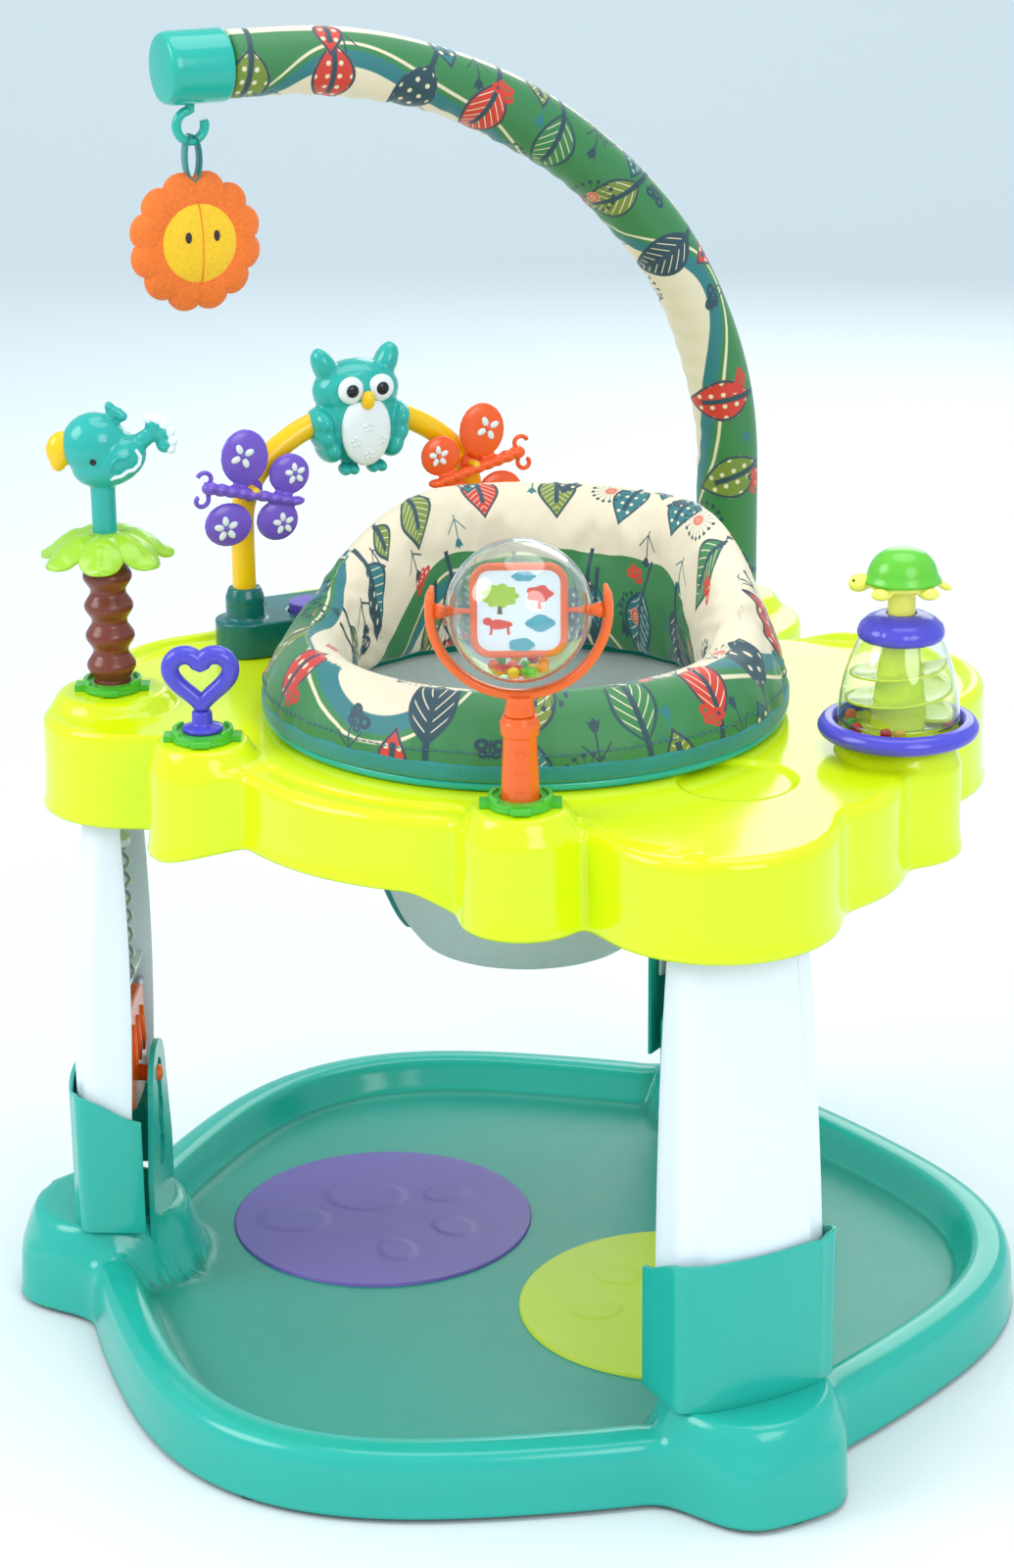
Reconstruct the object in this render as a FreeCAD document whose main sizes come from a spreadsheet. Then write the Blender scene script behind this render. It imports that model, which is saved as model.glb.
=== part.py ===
import FreeCAD, Part
import math
import os

# Activity jumper. The frame has +Z up and the child-facing front towards -Y; the floor is z = 0.
# Three legs stand on a ring at 90, 210 and 330 degrees. Lengths are millimetres.

SIZES = {
    "ring_shift": -12, "leg_ring": 290, "wall": 3, "slot_play": 0.8, "button_play": 0.5,
    # base
    "base_bottom": 4, "rim_top": 48, "floor_top": 22, "side_mean": 324.8, "side_third": 15.1,
    "side_sixth": 6.15, "rim_width": 36, "foot_ring": 305, "foot_radius": 65, "foot_crown": 58,
    "foot_top": 68, "pad_radius": 12, "pad_tall": 4, "disc_radius": 110, "disc_thick": 2,
    "flip_wide": 20, "flip_long": 34, "flip_thick": 5, "flip_pin": 2,
    # legs
    "sleeve_wide": 120, "sleeve_inner": 268, "sleeve_outer": 326, "sleeve_top": 171,
    "shell_low": 134, "shell_top": 396, "shell_wide_low": 110, "shell_wide_top": 92,
    "shell_outer_low": 318, "shell_outer_top": 302, "shell_inner": 276, "shelf_low": 236, "shelf_thick": 4,
    "plate_wide": 90, "plate_top": 190, "plate_round": 29, "plate_thick": 4,
    "lobe_top": 166, "lobe_step": 30, "lobe_radius": 11, "slot_half": 8, "button_radius": 6,
    "lever_top": 226, "lever_low": 146, "lever_wide": 66, "lever_thick": 8, "lever_pin": 3, "pin_long": 85,
    "rod_radius": 6, "rod_low": 296, "rod_top": 427, "head_radius": 14, "head_low": 340, "head_thick": 5,
    "coil_radius": 12, "wire_radius": 1.5, "coil_turns": 7,
    # tray
    "skirt_low": 374, "deck": 440, "tower_top": 450, "deck_under": 437, "seat_hole": 157.4, "collar_low": 418,
    "dish_radius": 36, "dish_deep": 20,
    # seat
    "ring_outer": 177, "ring_inner": 150, "ring_low": 440.4, "ring_high": 447, "barrel_radius": 157,
    "catch_radius": 163, "catch_low": 412, "catch_thick": 5.4,
    "roll_mid": 146, "roll_half": 29.5, "roll_top": 505, "back_top": 570, "back_half": 20, "back_turn": 110,
    "back_span": 170, "back_slope": 21, "sling_top": 440, "sling_low": 266, "sling_wide": 146, "sling_narrow": 64,
    "leg_hole": 44, "leg_hole_height": 322, "sling_thick": 3,
    # toys
    "clip_radius": 20, "clip_bore": 13, "clip_tall": 6, "tower_radius": 37,
    "bulge_radius": 15, "waist_radius": 10, "trunk_low": 453, "bulge_tall": 22,
    "leaf_long": 26, "leaf_wide": 12, "leaf_thick": 4, "leaf_height": 550, "bird_low": 590,
    "heart_low": 457, "heart_tube": 5.5, "heart_lobe": 12,
    "post_low": 450, "post_top": 512, "ball_height": 575, "ball_radius": 44.6, "ball_wall": 1.6,
    "yoke_mid": 53, "yoke_tube": 4.6, "axle_radius": 3, "axle_fit": 0.05,
    "frame_half": 27, "frame_thick": 6, "card_thick": 1.2, "bead_radius": 4,
    "spin_ring": 46, "spin_tube": 6.3, "spin_low": 451, "dome_low": 461, "dome_high": 521,
    "dome_wide": 44, "dome_narrow": 22, "cap_top": 534, "stem_radius": 7, "turtle_low": 547, "press_gap": 0.4,
    "music_low": 440.3, "music_top": 466, "music_half": 22, "music_reach": 46, "music_wall": 2.5,
    "button_wide": 15,
    "arch_tube": 8.5, "arch_low": 450, "arch_bend": 535, "arch_top": 607, "owl_bore": 14,
    "butterfly_height": 562, "pivot_radius": 3.5,
    # overhead bar
    "bar_radius": 11, "cover_radius": 22.5, "bar_low": 430, "bar_straight": 541.5, "bend_one": 300,
    "bend_two": 380, "bar_end": 36, "cap_radius": 24.3, "cap_long": 44, "bar_heading": 239.5,
    "sun_radius": 48, "sun_face": 33, "sun_thick": 26, "sun_height": 750, "strap_wide": 8, "strap_deep": 11,
}

LEGS = {"left": 210, "right": 330, "back": 90}
# Plan positions of what stands on the tray, from the ring's centre.
PALM = (-250, -135)
HEART = (-129, -191)
BALL = (119, -193)
SPINNER = (257, 49)
ARCH_LEFT = (-243, 8)
ARCH_RIGHT = (-147, 159)
BAR_FOOT = (-7, 292)
# Rounded lobes that make the tray's outline: heading in degrees, ring, radius.
LOBES = ((210, 268, 62), (330, 256, 74), (90, 265, 62), (155, 225, 106), (190, 235, 82), (47, 222, 104),
         (351, 208, 86), (268, 60, 164))
DISHES = ((195, -56), (188, 182))

doc = FreeCAD.newDocument("activity_jumper")
sheet = doc.addObject("Spreadsheet::Sheet", "Sizes")
for row, (alias, size) in enumerate(SIZES.items(), start=1):
    sheet.set(f"A{row}", alias)
    sheet.set(f"B{row}", str(size))
    sheet.setAlias(f"B{row}", alias)
doc.recompute()

nodes = []
Vec = FreeCAD.Vector


def size(alias):
    return float(sheet.get(alias))


def polar(heading, ring):
    return ring * math.cos(math.radians(heading)), ring * math.sin(math.radians(heading))


def place(at=(0, 0, 0), axis=(0, 0, 1), turn=0):
    return FreeCAD.Placement(Vec(*at), FreeCAD.Rotation(Vec(*axis), turn))


def shape(kind, sizes, where=None, heights=None):
    """A primitive whose properties are bound to formulas of the sheet."""
    item = doc.addObject("Part::" + kind, kind)
    if where is not None:
        item.Placement = where
    for prop, formula in sizes.items():
        item.setExpression(prop, formula)
    if heights is not None:
        item.setExpression("Placement.Base.z", heights)
    return item


def cylinder(radius, tall, low=None, at=(0, 0), axis=(0, 0, 1), turn=0, z=0):
    where = place((at[0], at[1], z), axis, turn)
    return shape("Cylinder", {"Radius": radius, "Height": tall}, where, low)


def cone(low_radius, high_radius, tall, low=None, at=(0, 0), z=0):
    sizes = {"Radius1": low_radius, "Radius2": high_radius, "Height": tall}
    return shape("Cone", sizes, place((at[0], at[1], z)), low)


def ball(radius, at):
    return shape("Sphere", {"Radius": radius}, place(at))


def box(long, wide, tall, at, axis=(0, 0, 1), turn=0):
    """A box centred on x and y, resting on the height given in at."""
    spin = FreeCAD.Rotation(Vec(*axis), turn)
    where = FreeCAD.Placement(Vec(*at) + spin.multVec(Vec(-long / 2, -wide / 2, 0)), spin)
    return shape("Box", {"Length": str(long), "Width": str(wide), "Height": str(tall)}, where)


def egg(across, along, tall, at, axis=(0, 0, 1), turn=0):
    """An ellipsoid with half-lengths along x, y and z."""
    item = doc.addObject("Part::Ellipsoid", "Egg")
    item.Radius1, item.Radius2, item.Radius3 = tall, across, along
    item.Placement = place(at, axis, turn)
    return item


def fuse(pieces):
    item = doc.addObject("Part::MultiFuse", "Fuse")
    item.Shapes = pieces
    return item


def cut(base, tool):
    item = doc.addObject("Part::Cut", "Cut")
    item.Base, item.Tool = base, tool
    return item


def common(base, tool):
    item = doc.addObject("Part::Common", "Common")
    item.Base, item.Tool = base, tool
    return item


def feature(solid):
    item = doc.addObject("Part::Feature", "Solid")
    item.Shape = solid
    return item


def group(pieces):
    item = doc.addObject("Part::Compound", "Group")
    item.Links = pieces
    return item


def node(label, item, at=(0, 0, 0), heading=0):
    """Name a finished sub-part and move it from its own frame to its place."""
    home = place((at[0], at[1] + size("ring_shift"), at[2]), turn=heading)
    item.Placement = home.multiply(item.Placement)
    item.Label = label
    nodes.append(item)
    return item


def leg_place(label, item, heading):
    return node(label, item, heading=heading)


# ---- base -------------------------------------------------------------------------------------

def side_outline(inset, low, tall):
    """The three-sided outline of the base, drawn in by inset and raised to a block."""
    points = []
    for step in range(60):
        around = math.radians(6 * step)
        ring = size("side_mean") - size("side_third") * math.cos(3 * (around - math.pi / 2))
        ring += size("side_sixth") * math.cos(6 * (around - math.pi / 2)) - inset
        points.append(Vec(ring * math.cos(around), ring * math.sin(around), low))
    curve = Part.BSplineCurve()
    curve.interpolate(points, PeriodicFlag=True)
    face = Part.Face(Part.Wire(curve.toShape()))
    return face.extrude(Vec(0, 0, tall))


def feet(radius, low, tall, crown=None):
    out = []
    for heading in LEGS.values():
        at = polar(heading, size("foot_ring"))
        if crown is None:
            out.append(cylinder(radius, tall, low, at))
        else:
            out.append(cone(radius, crown, tall, low, at))
    return out


def make_base():
    bottom, rim, floor = size("base_bottom"), size("rim_top"), size("floor_top")
    wall, width = size("wall"), size("rim_width")
    skin = feature(side_outline(0, bottom, rim - bottom))
    pan = feature(side_outline(width, floor, rim))
    ring = cut(skin, pan)
    low_feet = feet("Sizes.foot_radius", "Sizes.base_bottom", "36")
    crowns = feet("Sizes.foot_radius", "Sizes.base_bottom + 36",
                  "Sizes.foot_top - Sizes.base_bottom - 36", "Sizes.foot_crown")
    outer = fuse([ring] + low_feet + crowns)
    under_rim = cut(feature(side_outline(wall, bottom - 1, rim - bottom - wall + 1)),
                    feature(side_outline(width - wall, floor - wall, rim)))
    under_feet = feet("Sizes.foot_radius - Sizes.wall", "Sizes.base_bottom - 1", "37")
    under_feet += feet("Sizes.foot_radius - Sizes.wall", "Sizes.base_bottom + 36",
                       "Sizes.foot_top - Sizes.base_bottom - 36 - Sizes.wall", "Sizes.foot_crown - Sizes.wall")
    slots = [box(size("flip_wide") + 4, size("flip_long") + 4, 20, (5, -268, floor - 18))]
    thick, play = size("plate_thick"), size("slot_play")
    at = size("sleeve_inner") - 0.4 - thick / 2
    for heading in LEGS.values():
        plate_slot = box(thick + play, size("plate_wide") + play, size("foot_top"), (at, 0, floor))
        plate_slot.Placement = place(turn=heading).multiply(plate_slot.Placement)
        slots.append(plate_slot)
    node("base_tray", cut(cut(cut(outer, under_rim), fuse(under_feet)), fuse(slots)))


def make_base_trim():
    for label, at in (("floor_disc_purple", (-128, -2)), ("floor_disc_lime", (124, -5))):
        node(label, cylinder("Sizes.disc_radius", "Sizes.disc_thick", "Sizes.floor_top", at))
    pads = []
    for heading in (30, 90, 150, 210, 270, 330):
        ring = 353 if heading in LEGS.values() else 331
        pads.append(cylinder("Sizes.pad_radius", "Sizes.pad_tall", "0", polar(heading, ring)))
    node("foot_pads", group(pads))
    tongue = box(size("flip_wide"), size("flip_long"), size("flip_thick"), (5, -268, 15))
    pin = cylinder("Sizes.flip_pin + Sizes.axle_fit", "60", at=(-25, -254), axis=(0, 1, 0), turn=90, z=17.5)
    node("flip_foot", cut(tongue, pin))
    node("flip_foot_pin", cylinder("Sizes.flip_pin", "Sizes.flip_wide + 4", at=(-7, -254),
                                   axis=(0, 1, 0), turn=90, z=17.5))


# ---- legs: drawn with x outwards from the ring's centre and y across the leg ---------------------

def leg_block(inner, outer, half, bulge, low, tall):
    """A leg's plan: flat inside, straight sides and a bowed outer face."""
    corners = [Vec(outer, -half, low), Vec(inner, -half, low), Vec(inner, half, low), Vec(outer, half, low)]
    edges = [Part.LineSegment(a, b).toShape() for a, b in zip(corners, corners[1:])]
    edges.append(Part.Arc(corners[3], Vec(outer + bulge, 0, low), corners[0]).toShape())
    return Part.Face(Part.Wire(edges)).extrude(Vec(0, 0, tall))


def leg_loft(inset, low, high, inner):
    """A tapering leg between two heights, drawn in by inset."""
    wires = []
    for level in (low, (low + high) / 2, high):
        share = (level - low) / (high - low)
        half = size("shell_wide_low") / 2 * (1 - share) + size("shell_wide_top") / 2 * share - inset
        outer = size("shell_outer_low") * (1 - share) + size("shell_outer_top") * share - 6 - inset
        bow = 8 + 3 * math.sin(math.pi * share)
        corners = [Vec(outer, -half, level), Vec(inner, -half, level), Vec(inner, half, level),
                   Vec(outer, half, level)]
        edges = [Part.LineSegment(a, b).toShape() for a, b in zip(corners, corners[1:])]
        edges.append(Part.Arc(corners[3], Vec(outer + bow, 0, level), corners[0]).toShape())
        wires.append(Part.Wire(edges))
    return Part.makeLoft(wires, True, False)


def lower_sleeve():
    low, top, half = size("foot_top"), size("sleeve_top"), size("sleeve_wide") / 2
    inner, outer, wall = size("sleeve_inner"), size("sleeve_outer") - 9, size("wall")
    skin = leg_block(inner, outer, half, 9, low, top - low)
    hollow = leg_block(inner - 10, outer - wall, half - wall, 9, low + 4, top)
    return feature(skin.cut(hollow))


def upper_shell():
    low, high, wall = size("shell_low"), size("shell_top"), size("wall")
    skin = leg_loft(0, low, high, size("shell_inner"))
    hollow = leg_loft(wall, low, high, size("shell_inner") - 20)
    shell = skin.cut(hollow)
    slab = leg_loft(wall, low, high, size("shell_inner") + 2)
    level = Part.makeBox(200, 200, size("shelf_thick"), Vec(200, -100, size("shelf_low")))
    shelf = slab.common(level)
    hole = Part.makeCylinder(size("rod_radius") + 1, 20, Vec(size("leg_ring"), 0, size("shelf_low") - 8))
    return feature(shell.fuse(shelf).cut(hole).removeSplitter())


def height_plate():
    wide, thick, top = size("plate_wide"), size("plate_thick"), size("plate_top")
    low, round_r = size("floor_top"), size("plate_round")
    inner = size("sleeve_inner") - thick - 0.4
    shoulder, centre = 100, top - round_r
    body = doc.addObject("PartDesign::Body", "Plate")
    sketch = body.newObject("Sketcher::SketchObject", "PlateOutline")
    plane = next(f for f in body.Origin.OriginFeatures if f.Role == "YZ_Plane")
    sketch.AttachmentSupport, sketch.MapMode = (plane, ""), "FlatFace"
    half = wide / 2
    outline = [Vec(-round_r, centre, 0), Vec(-half, shoulder, 0), Vec(-half, low, 0), Vec(half, low, 0),
               Vec(half, shoulder, 0), Vec(round_r, centre, 0)]
    for start, end in zip(outline, outline[1:]):
        sketch.addGeometry(Part.LineSegment(start, end), False)
    sketch.addGeometry(Part.Arc(outline[5], Vec(0, top, 0), outline[0]), False)
    doc.recompute()
    pad = body.newObject("PartDesign::Pad", "PlatePad")
    pad.Profile = sketch
    pad.setExpression("Length", "Sizes.plate_thick")
    doc.recompute()
    body.Placement = place((inner, 0, 0))
    across = dict(axis=(0, 1, 0), turn=90, at=(inner - 5, 0))
    lobes = [cylinder("Sizes.lobe_radius", "20", z=size("lobe_top") - k * size("lobe_step"), **across)
             for k in range(3)]
    long = 2 * size("lobe_step")
    neck = box(20, 2 * size("slot_half"), long, (inner, 0, size("lobe_top") - long))
    return cut(body, fuse(lobes + [neck]))


def height_lever():
    inner = size("shell_inner") + 1
    wide, thick = size("lever_wide"), size("lever_thick")
    low, high = size("lever_low"), size("lever_top")
    plate = box(thick, wide, high - low, (inner + thick / 2, 0, low))
    button = cylinder("Sizes.button_radius", "17", at=(inner - 16, 0), axis=(0, 1, 0), turn=90,
                      z=size("lobe_top"))
    bore = cylinder("Sizes.lever_pin + Sizes.axle_fit", "100", at=(inner + thick / 2, 50), axis=(1, 0, 0),
                    turn=90, z=high - 6)
    return cut(fuse([plate, button]), bore)


def lever_pin():
    inner = size("shell_inner") + 1 + size("lever_thick") / 2
    return cylinder("Sizes.lever_pin", "Sizes.pin_long", at=(inner, size("pin_long") / 2),
                    axis=(1, 0, 0), turn=90, z=size("lever_top") - 6)


def leg_plunger():
    at = (size("leg_ring"), 0)
    rod = cylinder("Sizes.rod_radius", "Sizes.rod_top - Sizes.rod_low", "Sizes.rod_low", at)
    head = cylinder("Sizes.head_radius", "Sizes.head_thick", "Sizes.head_low", at)
    return fuse([rod, head])


def leg_spring(heading):
    low = size("shelf_low") + size("shelf_thick") + size("wire_radius") + 0.2
    tall = size("head_low") - size("wire_radius") - 0.2 - low
    pitch = tall / size("coil_turns")
    helix = Part.makeHelix(pitch, tall, size("coil_radius"))
    start = Vec(size("coil_radius"), 0, 0)
    rise = Vec(0, 2 * math.pi * size("coil_radius"), pitch)
    section = Part.Wire(Part.makeCircle(size("wire_radius"), start, rise))
    coil = Part.Wire(helix).makePipeShell([section], True, True)
    x, y = polar(heading, size("leg_ring"))
    coil.translate(Vec(x, y, low))
    return feature(coil)


def make_legs():
    for side, heading in LEGS.items():
        leg_place(f"lower_leg_{side}", lower_sleeve(), heading)
        leg_place(f"height_plate_{side}", height_plate(), heading)
        leg_place(f"upper_leg_{side}", upper_shell(), heading)
        leg_place(f"height_lever_{side}", height_lever(), heading)
    group_at_legs("lever_pins", lever_pin)
    group_at_legs("leg_plungers", leg_plunger)
    node("leg_springs", group([leg_spring(heading) for heading in LEGS.values()]))


def group_at_legs(label, make):
    pieces = []
    for heading in LEGS.values():
        item = make()
        item.Placement = place(turn=heading).multiply(item.Placement)
        pieces.append(item)
    node(label, group(pieces))


# ---- tray -------------------------------------------------------------------------------------

def tray_block(inset, low, tall):
    pieces = [Part.makeCylinder(206 - inset, tall, Vec(0, 0, low))]
    for heading, ring, radius in LOBES:
        x, y = polar(heading, ring)
        pieces.append(Part.makeCylinder(radius - inset, tall, Vec(x, y, low)))
        if heading in LEGS.values():
            side = Part.makeBox(ring - 150, 2 * (radius - inset), tall, Vec(150, inset - radius, low))
            side.rotate(Vec(0, 0, 0), Vec(0, 0, 1), heading)
            pieces.append(side)
    for at in (HEART, BALL, SPINNER):
        radius = 42 if at is SPINNER else size("tower_radius")
        pieces.append(Part.makeCylinder(radius - inset, tall, Vec(*at, low)))
    return pieces[0].fuse(pieces[1:]).removeSplitter()


def make_tray():
    low, deck, under, wall = size("skirt_low"), size("deck"), size("deck_under"), size("wall")
    outer = feature(tray_block(0, low, deck - low))
    inside = feature(tray_block(wall, low - 1, under - low + 1))
    towers = [cylinder("Sizes.tower_radius - 2", "Sizes.tower_top - Sizes.deck", "Sizes.deck", at)
              for at in (PALM, HEART, BALL)]
    towers.append(cylinder("40", "Sizes.tower_top - Sizes.deck", "Sizes.deck", SPINNER))
    towers.append(cylinder("Sizes.tower_radius", "Sizes.tower_top - Sizes.deck", "Sizes.deck", BAR_FOOT))
    hole = cylinder("Sizes.seat_hole", "100", "400")
    collar = cut(cylinder("Sizes.seat_hole + Sizes.wall", "Sizes.deck - Sizes.collar_low", "Sizes.collar_low"),
                 cylinder("Sizes.seat_hole", "100", "400"))
    bowls, hollows = [], []
    for at in DISHES:
        bowls.append(cylinder("Sizes.dish_radius + Sizes.wall", "Sizes.dish_deep + Sizes.wall",
                              "Sizes.deck - Sizes.dish_deep - Sizes.wall", at))
        hollows.append(cylinder("Sizes.dish_radius", "Sizes.dish_deep + 5", "Sizes.deck - Sizes.dish_deep", at))
    bosses = [cylinder("Sizes.bar_radius + 5", "Sizes.deck - Sizes.rod_top", "Sizes.rod_top",
                       polar(heading, size("leg_ring"))) for heading in LEGS.values()]
    bar_bore = cylinder("Sizes.bar_radius", "100", "Sizes.bar_low", BAR_FOOT)
    shell = fuse([cut(cut(outer, inside), hole), collar] + bosses + towers + bowls)
    node("activity_tray", cut(shell, fuse(hollows + [bar_bore])))


# ---- seat -------------------------------------------------------------------------------------

def ring(outer, inner, low, tall):
    return cut(cylinder(outer, tall, low), cylinder(inner, "300", "300"))


def make_seat():
    flange = ring("Sizes.ring_outer", "Sizes.ring_inner", "Sizes.ring_low", "Sizes.ring_high - Sizes.ring_low")
    barrel = ring("Sizes.barrel_radius", "Sizes.ring_inner", "Sizes.collar_low - 0.6",
                  "Sizes.ring_high - Sizes.collar_low")
    node("seat_ring", fuse([flange, barrel]))
    node("seat_retainer", ring("Sizes.catch_radius", "Sizes.ring_inner", "Sizes.catch_low",
                               "Sizes.catch_thick"))
    roll = shape("Torus", {"Radius1": "Sizes.roll_mid", "Radius2": "Sizes.roll_half"},
                 place((0, 0, 0)), "Sizes.roll_top - Sizes.roll_half")
    node("seat_roll", cut(roll, cylinder("400", "100", "Sizes.ring_high - 100")))
    half, span = size("back_half"), size("back_span")
    wedge = shape("Cylinder", {"Radius": "Sizes.roll_mid + Sizes.back_half",
                               "Height": "Sizes.back_top - Sizes.roll_top - 0.5", "Angle": "Sizes.back_span"},
                  place((0, 0, 0), turn=size("back_turn") - span / 2), "Sizes.roll_top + 0.5")
    back = cut(wedge, cylinder("Sizes.roll_mid - Sizes.back_half", "300", "400"))
    slope = shape("Box", {"Length": "500", "Width": "500", "Height": "200"})
    tilt = place((0, 0, size("roll_top") + 2), polar(size("back_turn") - 90, 1) + (0,), size("back_slope"))
    slope.Placement = tilt.multiply(place((-250, -250, 0)))
    node("seat_back", cut(back, slope))
    bag = cone("Sizes.sling_narrow", "Sizes.sling_wide", "Sizes.sling_top - Sizes.sling_low", "Sizes.sling_low")
    inside = cone("Sizes.sling_narrow - Sizes.sling_thick", "Sizes.sling_wide - Sizes.sling_thick",
                  "Sizes.sling_top - Sizes.sling_low", "Sizes.sling_low + Sizes.sling_thick")
    across = size("back_turn") - 90
    holes = shape("Cylinder", {"Radius": "Sizes.leg_hole", "Height": "400"},
                  place(polar(across + 180, 200) + (0,), polar(across + 90, 1) + (0,), 90),
                  "Sizes.leg_hole_height")
    node("seat_sling", cut(cut(bag, inside), holes))


# ---- toys -------------------------------------------------------------------------------------

def clip():
    body = cut(cylinder("Sizes.clip_radius", "Sizes.clip_tall"), cylinder("Sizes.clip_bore", "20", z=-1))
    tabs = [box(7, 12, 4, (x, 0, 0)) for x in (-22, 22)]
    return fuse([body] + tabs)


def make_clips():
    clips = []
    for at, heading in ((PALM, 33), (HEART, 33), (BALL, 33)):
        item = clip()
        item.Placement = place((at[0], at[1], size("tower_top")), turn=heading)
        clips.append(item)
    node("toy_clips", group(clips))


def make_palm():
    frusta = []
    tall = size("bulge_tall") / 2
    for k in range(4):
        low = size("trunk_low") + 2 * k * tall
        widest = "11" if k == 0 else "Sizes.bulge_radius"
        frusta.append(cone("Sizes.waist_radius", widest, str(tall), z=low))
        frusta.append(cone(widest, "Sizes.waist_radius", str(tall), z=low + tall))
    node("palm_trunk", fuse(frusta), at=PALM + (0,))
    height = size("leaf_height")
    leaves = [cone("11", "14", "9", z=height - 8.5)]
    for k in range(7):
        heading = k * 360 / 7
        leaf = egg(size("leaf_long"), size("leaf_wide"), size("leaf_thick"), (0, 0, 0), (0, 1, 0), 22)
        x, y = polar(heading, 25)
        leaf.Placement = place((x, y, height), turn=heading).multiply(leaf.Placement)
        leaves.append(leaf)
    socket = cylinder("9.6", "40", z=height + 3.6)
    node("palm_leaves", cut(fuse(leaves), socket), at=PALM + (0,))
    low = size("bird_low")
    collar = cylinder("9", "46", z=height + 4)
    body = egg(23, 17, 19, (2, 0, low + 23))
    head = ball("15.5", (-15, 0, low + 28))
    crest = cylinder("8", "5", at=(-6, 2.5), axis=(1, 0, 0), turn=90, z=low + 47)
    tail = box(26, 9, 9, (30, 0, low + 26), (0, 1, 0), -25)
    node("bird_body", fuse([collar, body, head, crest, tail]), at=PALM + (0,), heading=33)
    beak = cone("8", "2.2", "17")
    beak.Placement = place((-26, 0, low + 29), (0, 1, 0), -94)
    beak = cut(beak, ball("15.7", (-15, 0, low + 28)))
    node("bird_beak", beak, at=PALM + (0,), heading=33)


def make_heart():
    tube, lobe = size("heart_tube"), size("heart_lobe")
    low = size("heart_low")
    lift = 40
    pieces = [cylinder("16", "4", z=low), cylinder("8", "12", z=low)]
    pieces.append(cylinder("12", "7", z=size("tower_top") + 0.6))
    for side in (-1, 1):
        arc = shape("Torus", {"Radius1": "Sizes.heart_lobe", "Radius2": "Sizes.heart_tube"},
                    place((side * lobe, 0, low + lift), (1, 0, 0), 90))
        keep = box(60, 40, 60, (side * 30, 0, low + lift - 6))
        pieces.append(common(arc, keep))
        top = Vec(side * 2 * lobe, 0, low + lift - 4)
        run = top - Vec(0, 0, low + 10)
        leg = cylinder("Sizes.heart_tube", str(run.Length), z=low + 10)
        leg.Placement = FreeCAD.Placement(Vec(0, 0, low + 10), FreeCAD.Rotation(Vec(0, 0, 1), run))
        pieces.append(leg)
        pieces.append(ball("Sizes.heart_tube", (side * 2 * lobe, 0, low + lift - 5)))
    node("heart_loop", fuse(pieces), at=HEART + (0,), heading=33)


def make_ball():
    mid = size("ball_height")
    post = [cone("12.4", "9", "Sizes.post_top - Sizes.post_low - 4", "Sizes.post_low + 0.6"),
            cone("16", "14", "6", "Sizes.post_low + 6.6")]
    node("ball_post", fuse(post), at=BALL + (0,))
    hoop = shape("Torus", {"Radius1": "Sizes.yoke_mid", "Radius2": "Sizes.yoke_tube"},
                 place((0, 0, mid), (1, 0, 0), 90))
    lower = box(140, 20, 80, (0, 0, mid - 76))
    ears = [cylinder("7", "8", at=(x, 0), axis=(0, 1, 0), turn=90, z=mid) for x in (-57, 49)]
    stem = cylinder("9", "11", z=size("post_top") - 3)
    bore = cylinder("Sizes.axle_radius + Sizes.axle_fit", "150", at=(-75, 0), axis=(0, 1, 0), turn=90, z=mid)
    node("ball_yoke", cut(fuse([common(hoop, lower), stem] + ears), bore), at=BALL + (0,), heading=33)
    poles = place((0, 0, mid), (0, 1, 0), 90)
    skin = cut(shape("Sphere", {"Radius": "Sizes.ball_radius"}, poles),
               shape("Sphere", {"Radius": "Sizes.ball_radius - Sizes.ball_wall"}, poles))
    holes = cylinder("Sizes.axle_radius + 0.02", "150", at=(-75, 0), axis=(0, 1, 0), turn=90, z=mid)
    node("ball_shell", cut(skin, holes), at=BALL + (0,), heading=33)
    half, thick = size("frame_half"), size("frame_thick")
    rim = cut(box(2 * half, thick, 2 * half, (0, 0, mid - half)),
              box(2 * half - 9, thick + 2, 2 * half - 9, (0, 0, mid - half + 4.5)))
    pins = [cylinder("Sizes.axle_radius", "32", at=(x, 0), axis=(0, 1, 0), turn=90, z=mid) for x in (-57, 25)]
    node("picture_frame", fuse([rim] + pins), at=BALL + (0,), heading=33)
    inside = 2 * half - 9.2
    node("picture_card", box(inside, size("card_thick"), inside, (0, 0, mid - half + 4.6)),
         at=BALL + (0,), heading=33)
    beads = []
    for k in range(6):
        x, y = polar(60 * k + 15, 14)
        beads.append(ball("Sizes.bead_radius", (x, y, mid - 35.5)))
    node("ball_beads", group(beads), at=BALL + (0,), heading=33)


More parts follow.
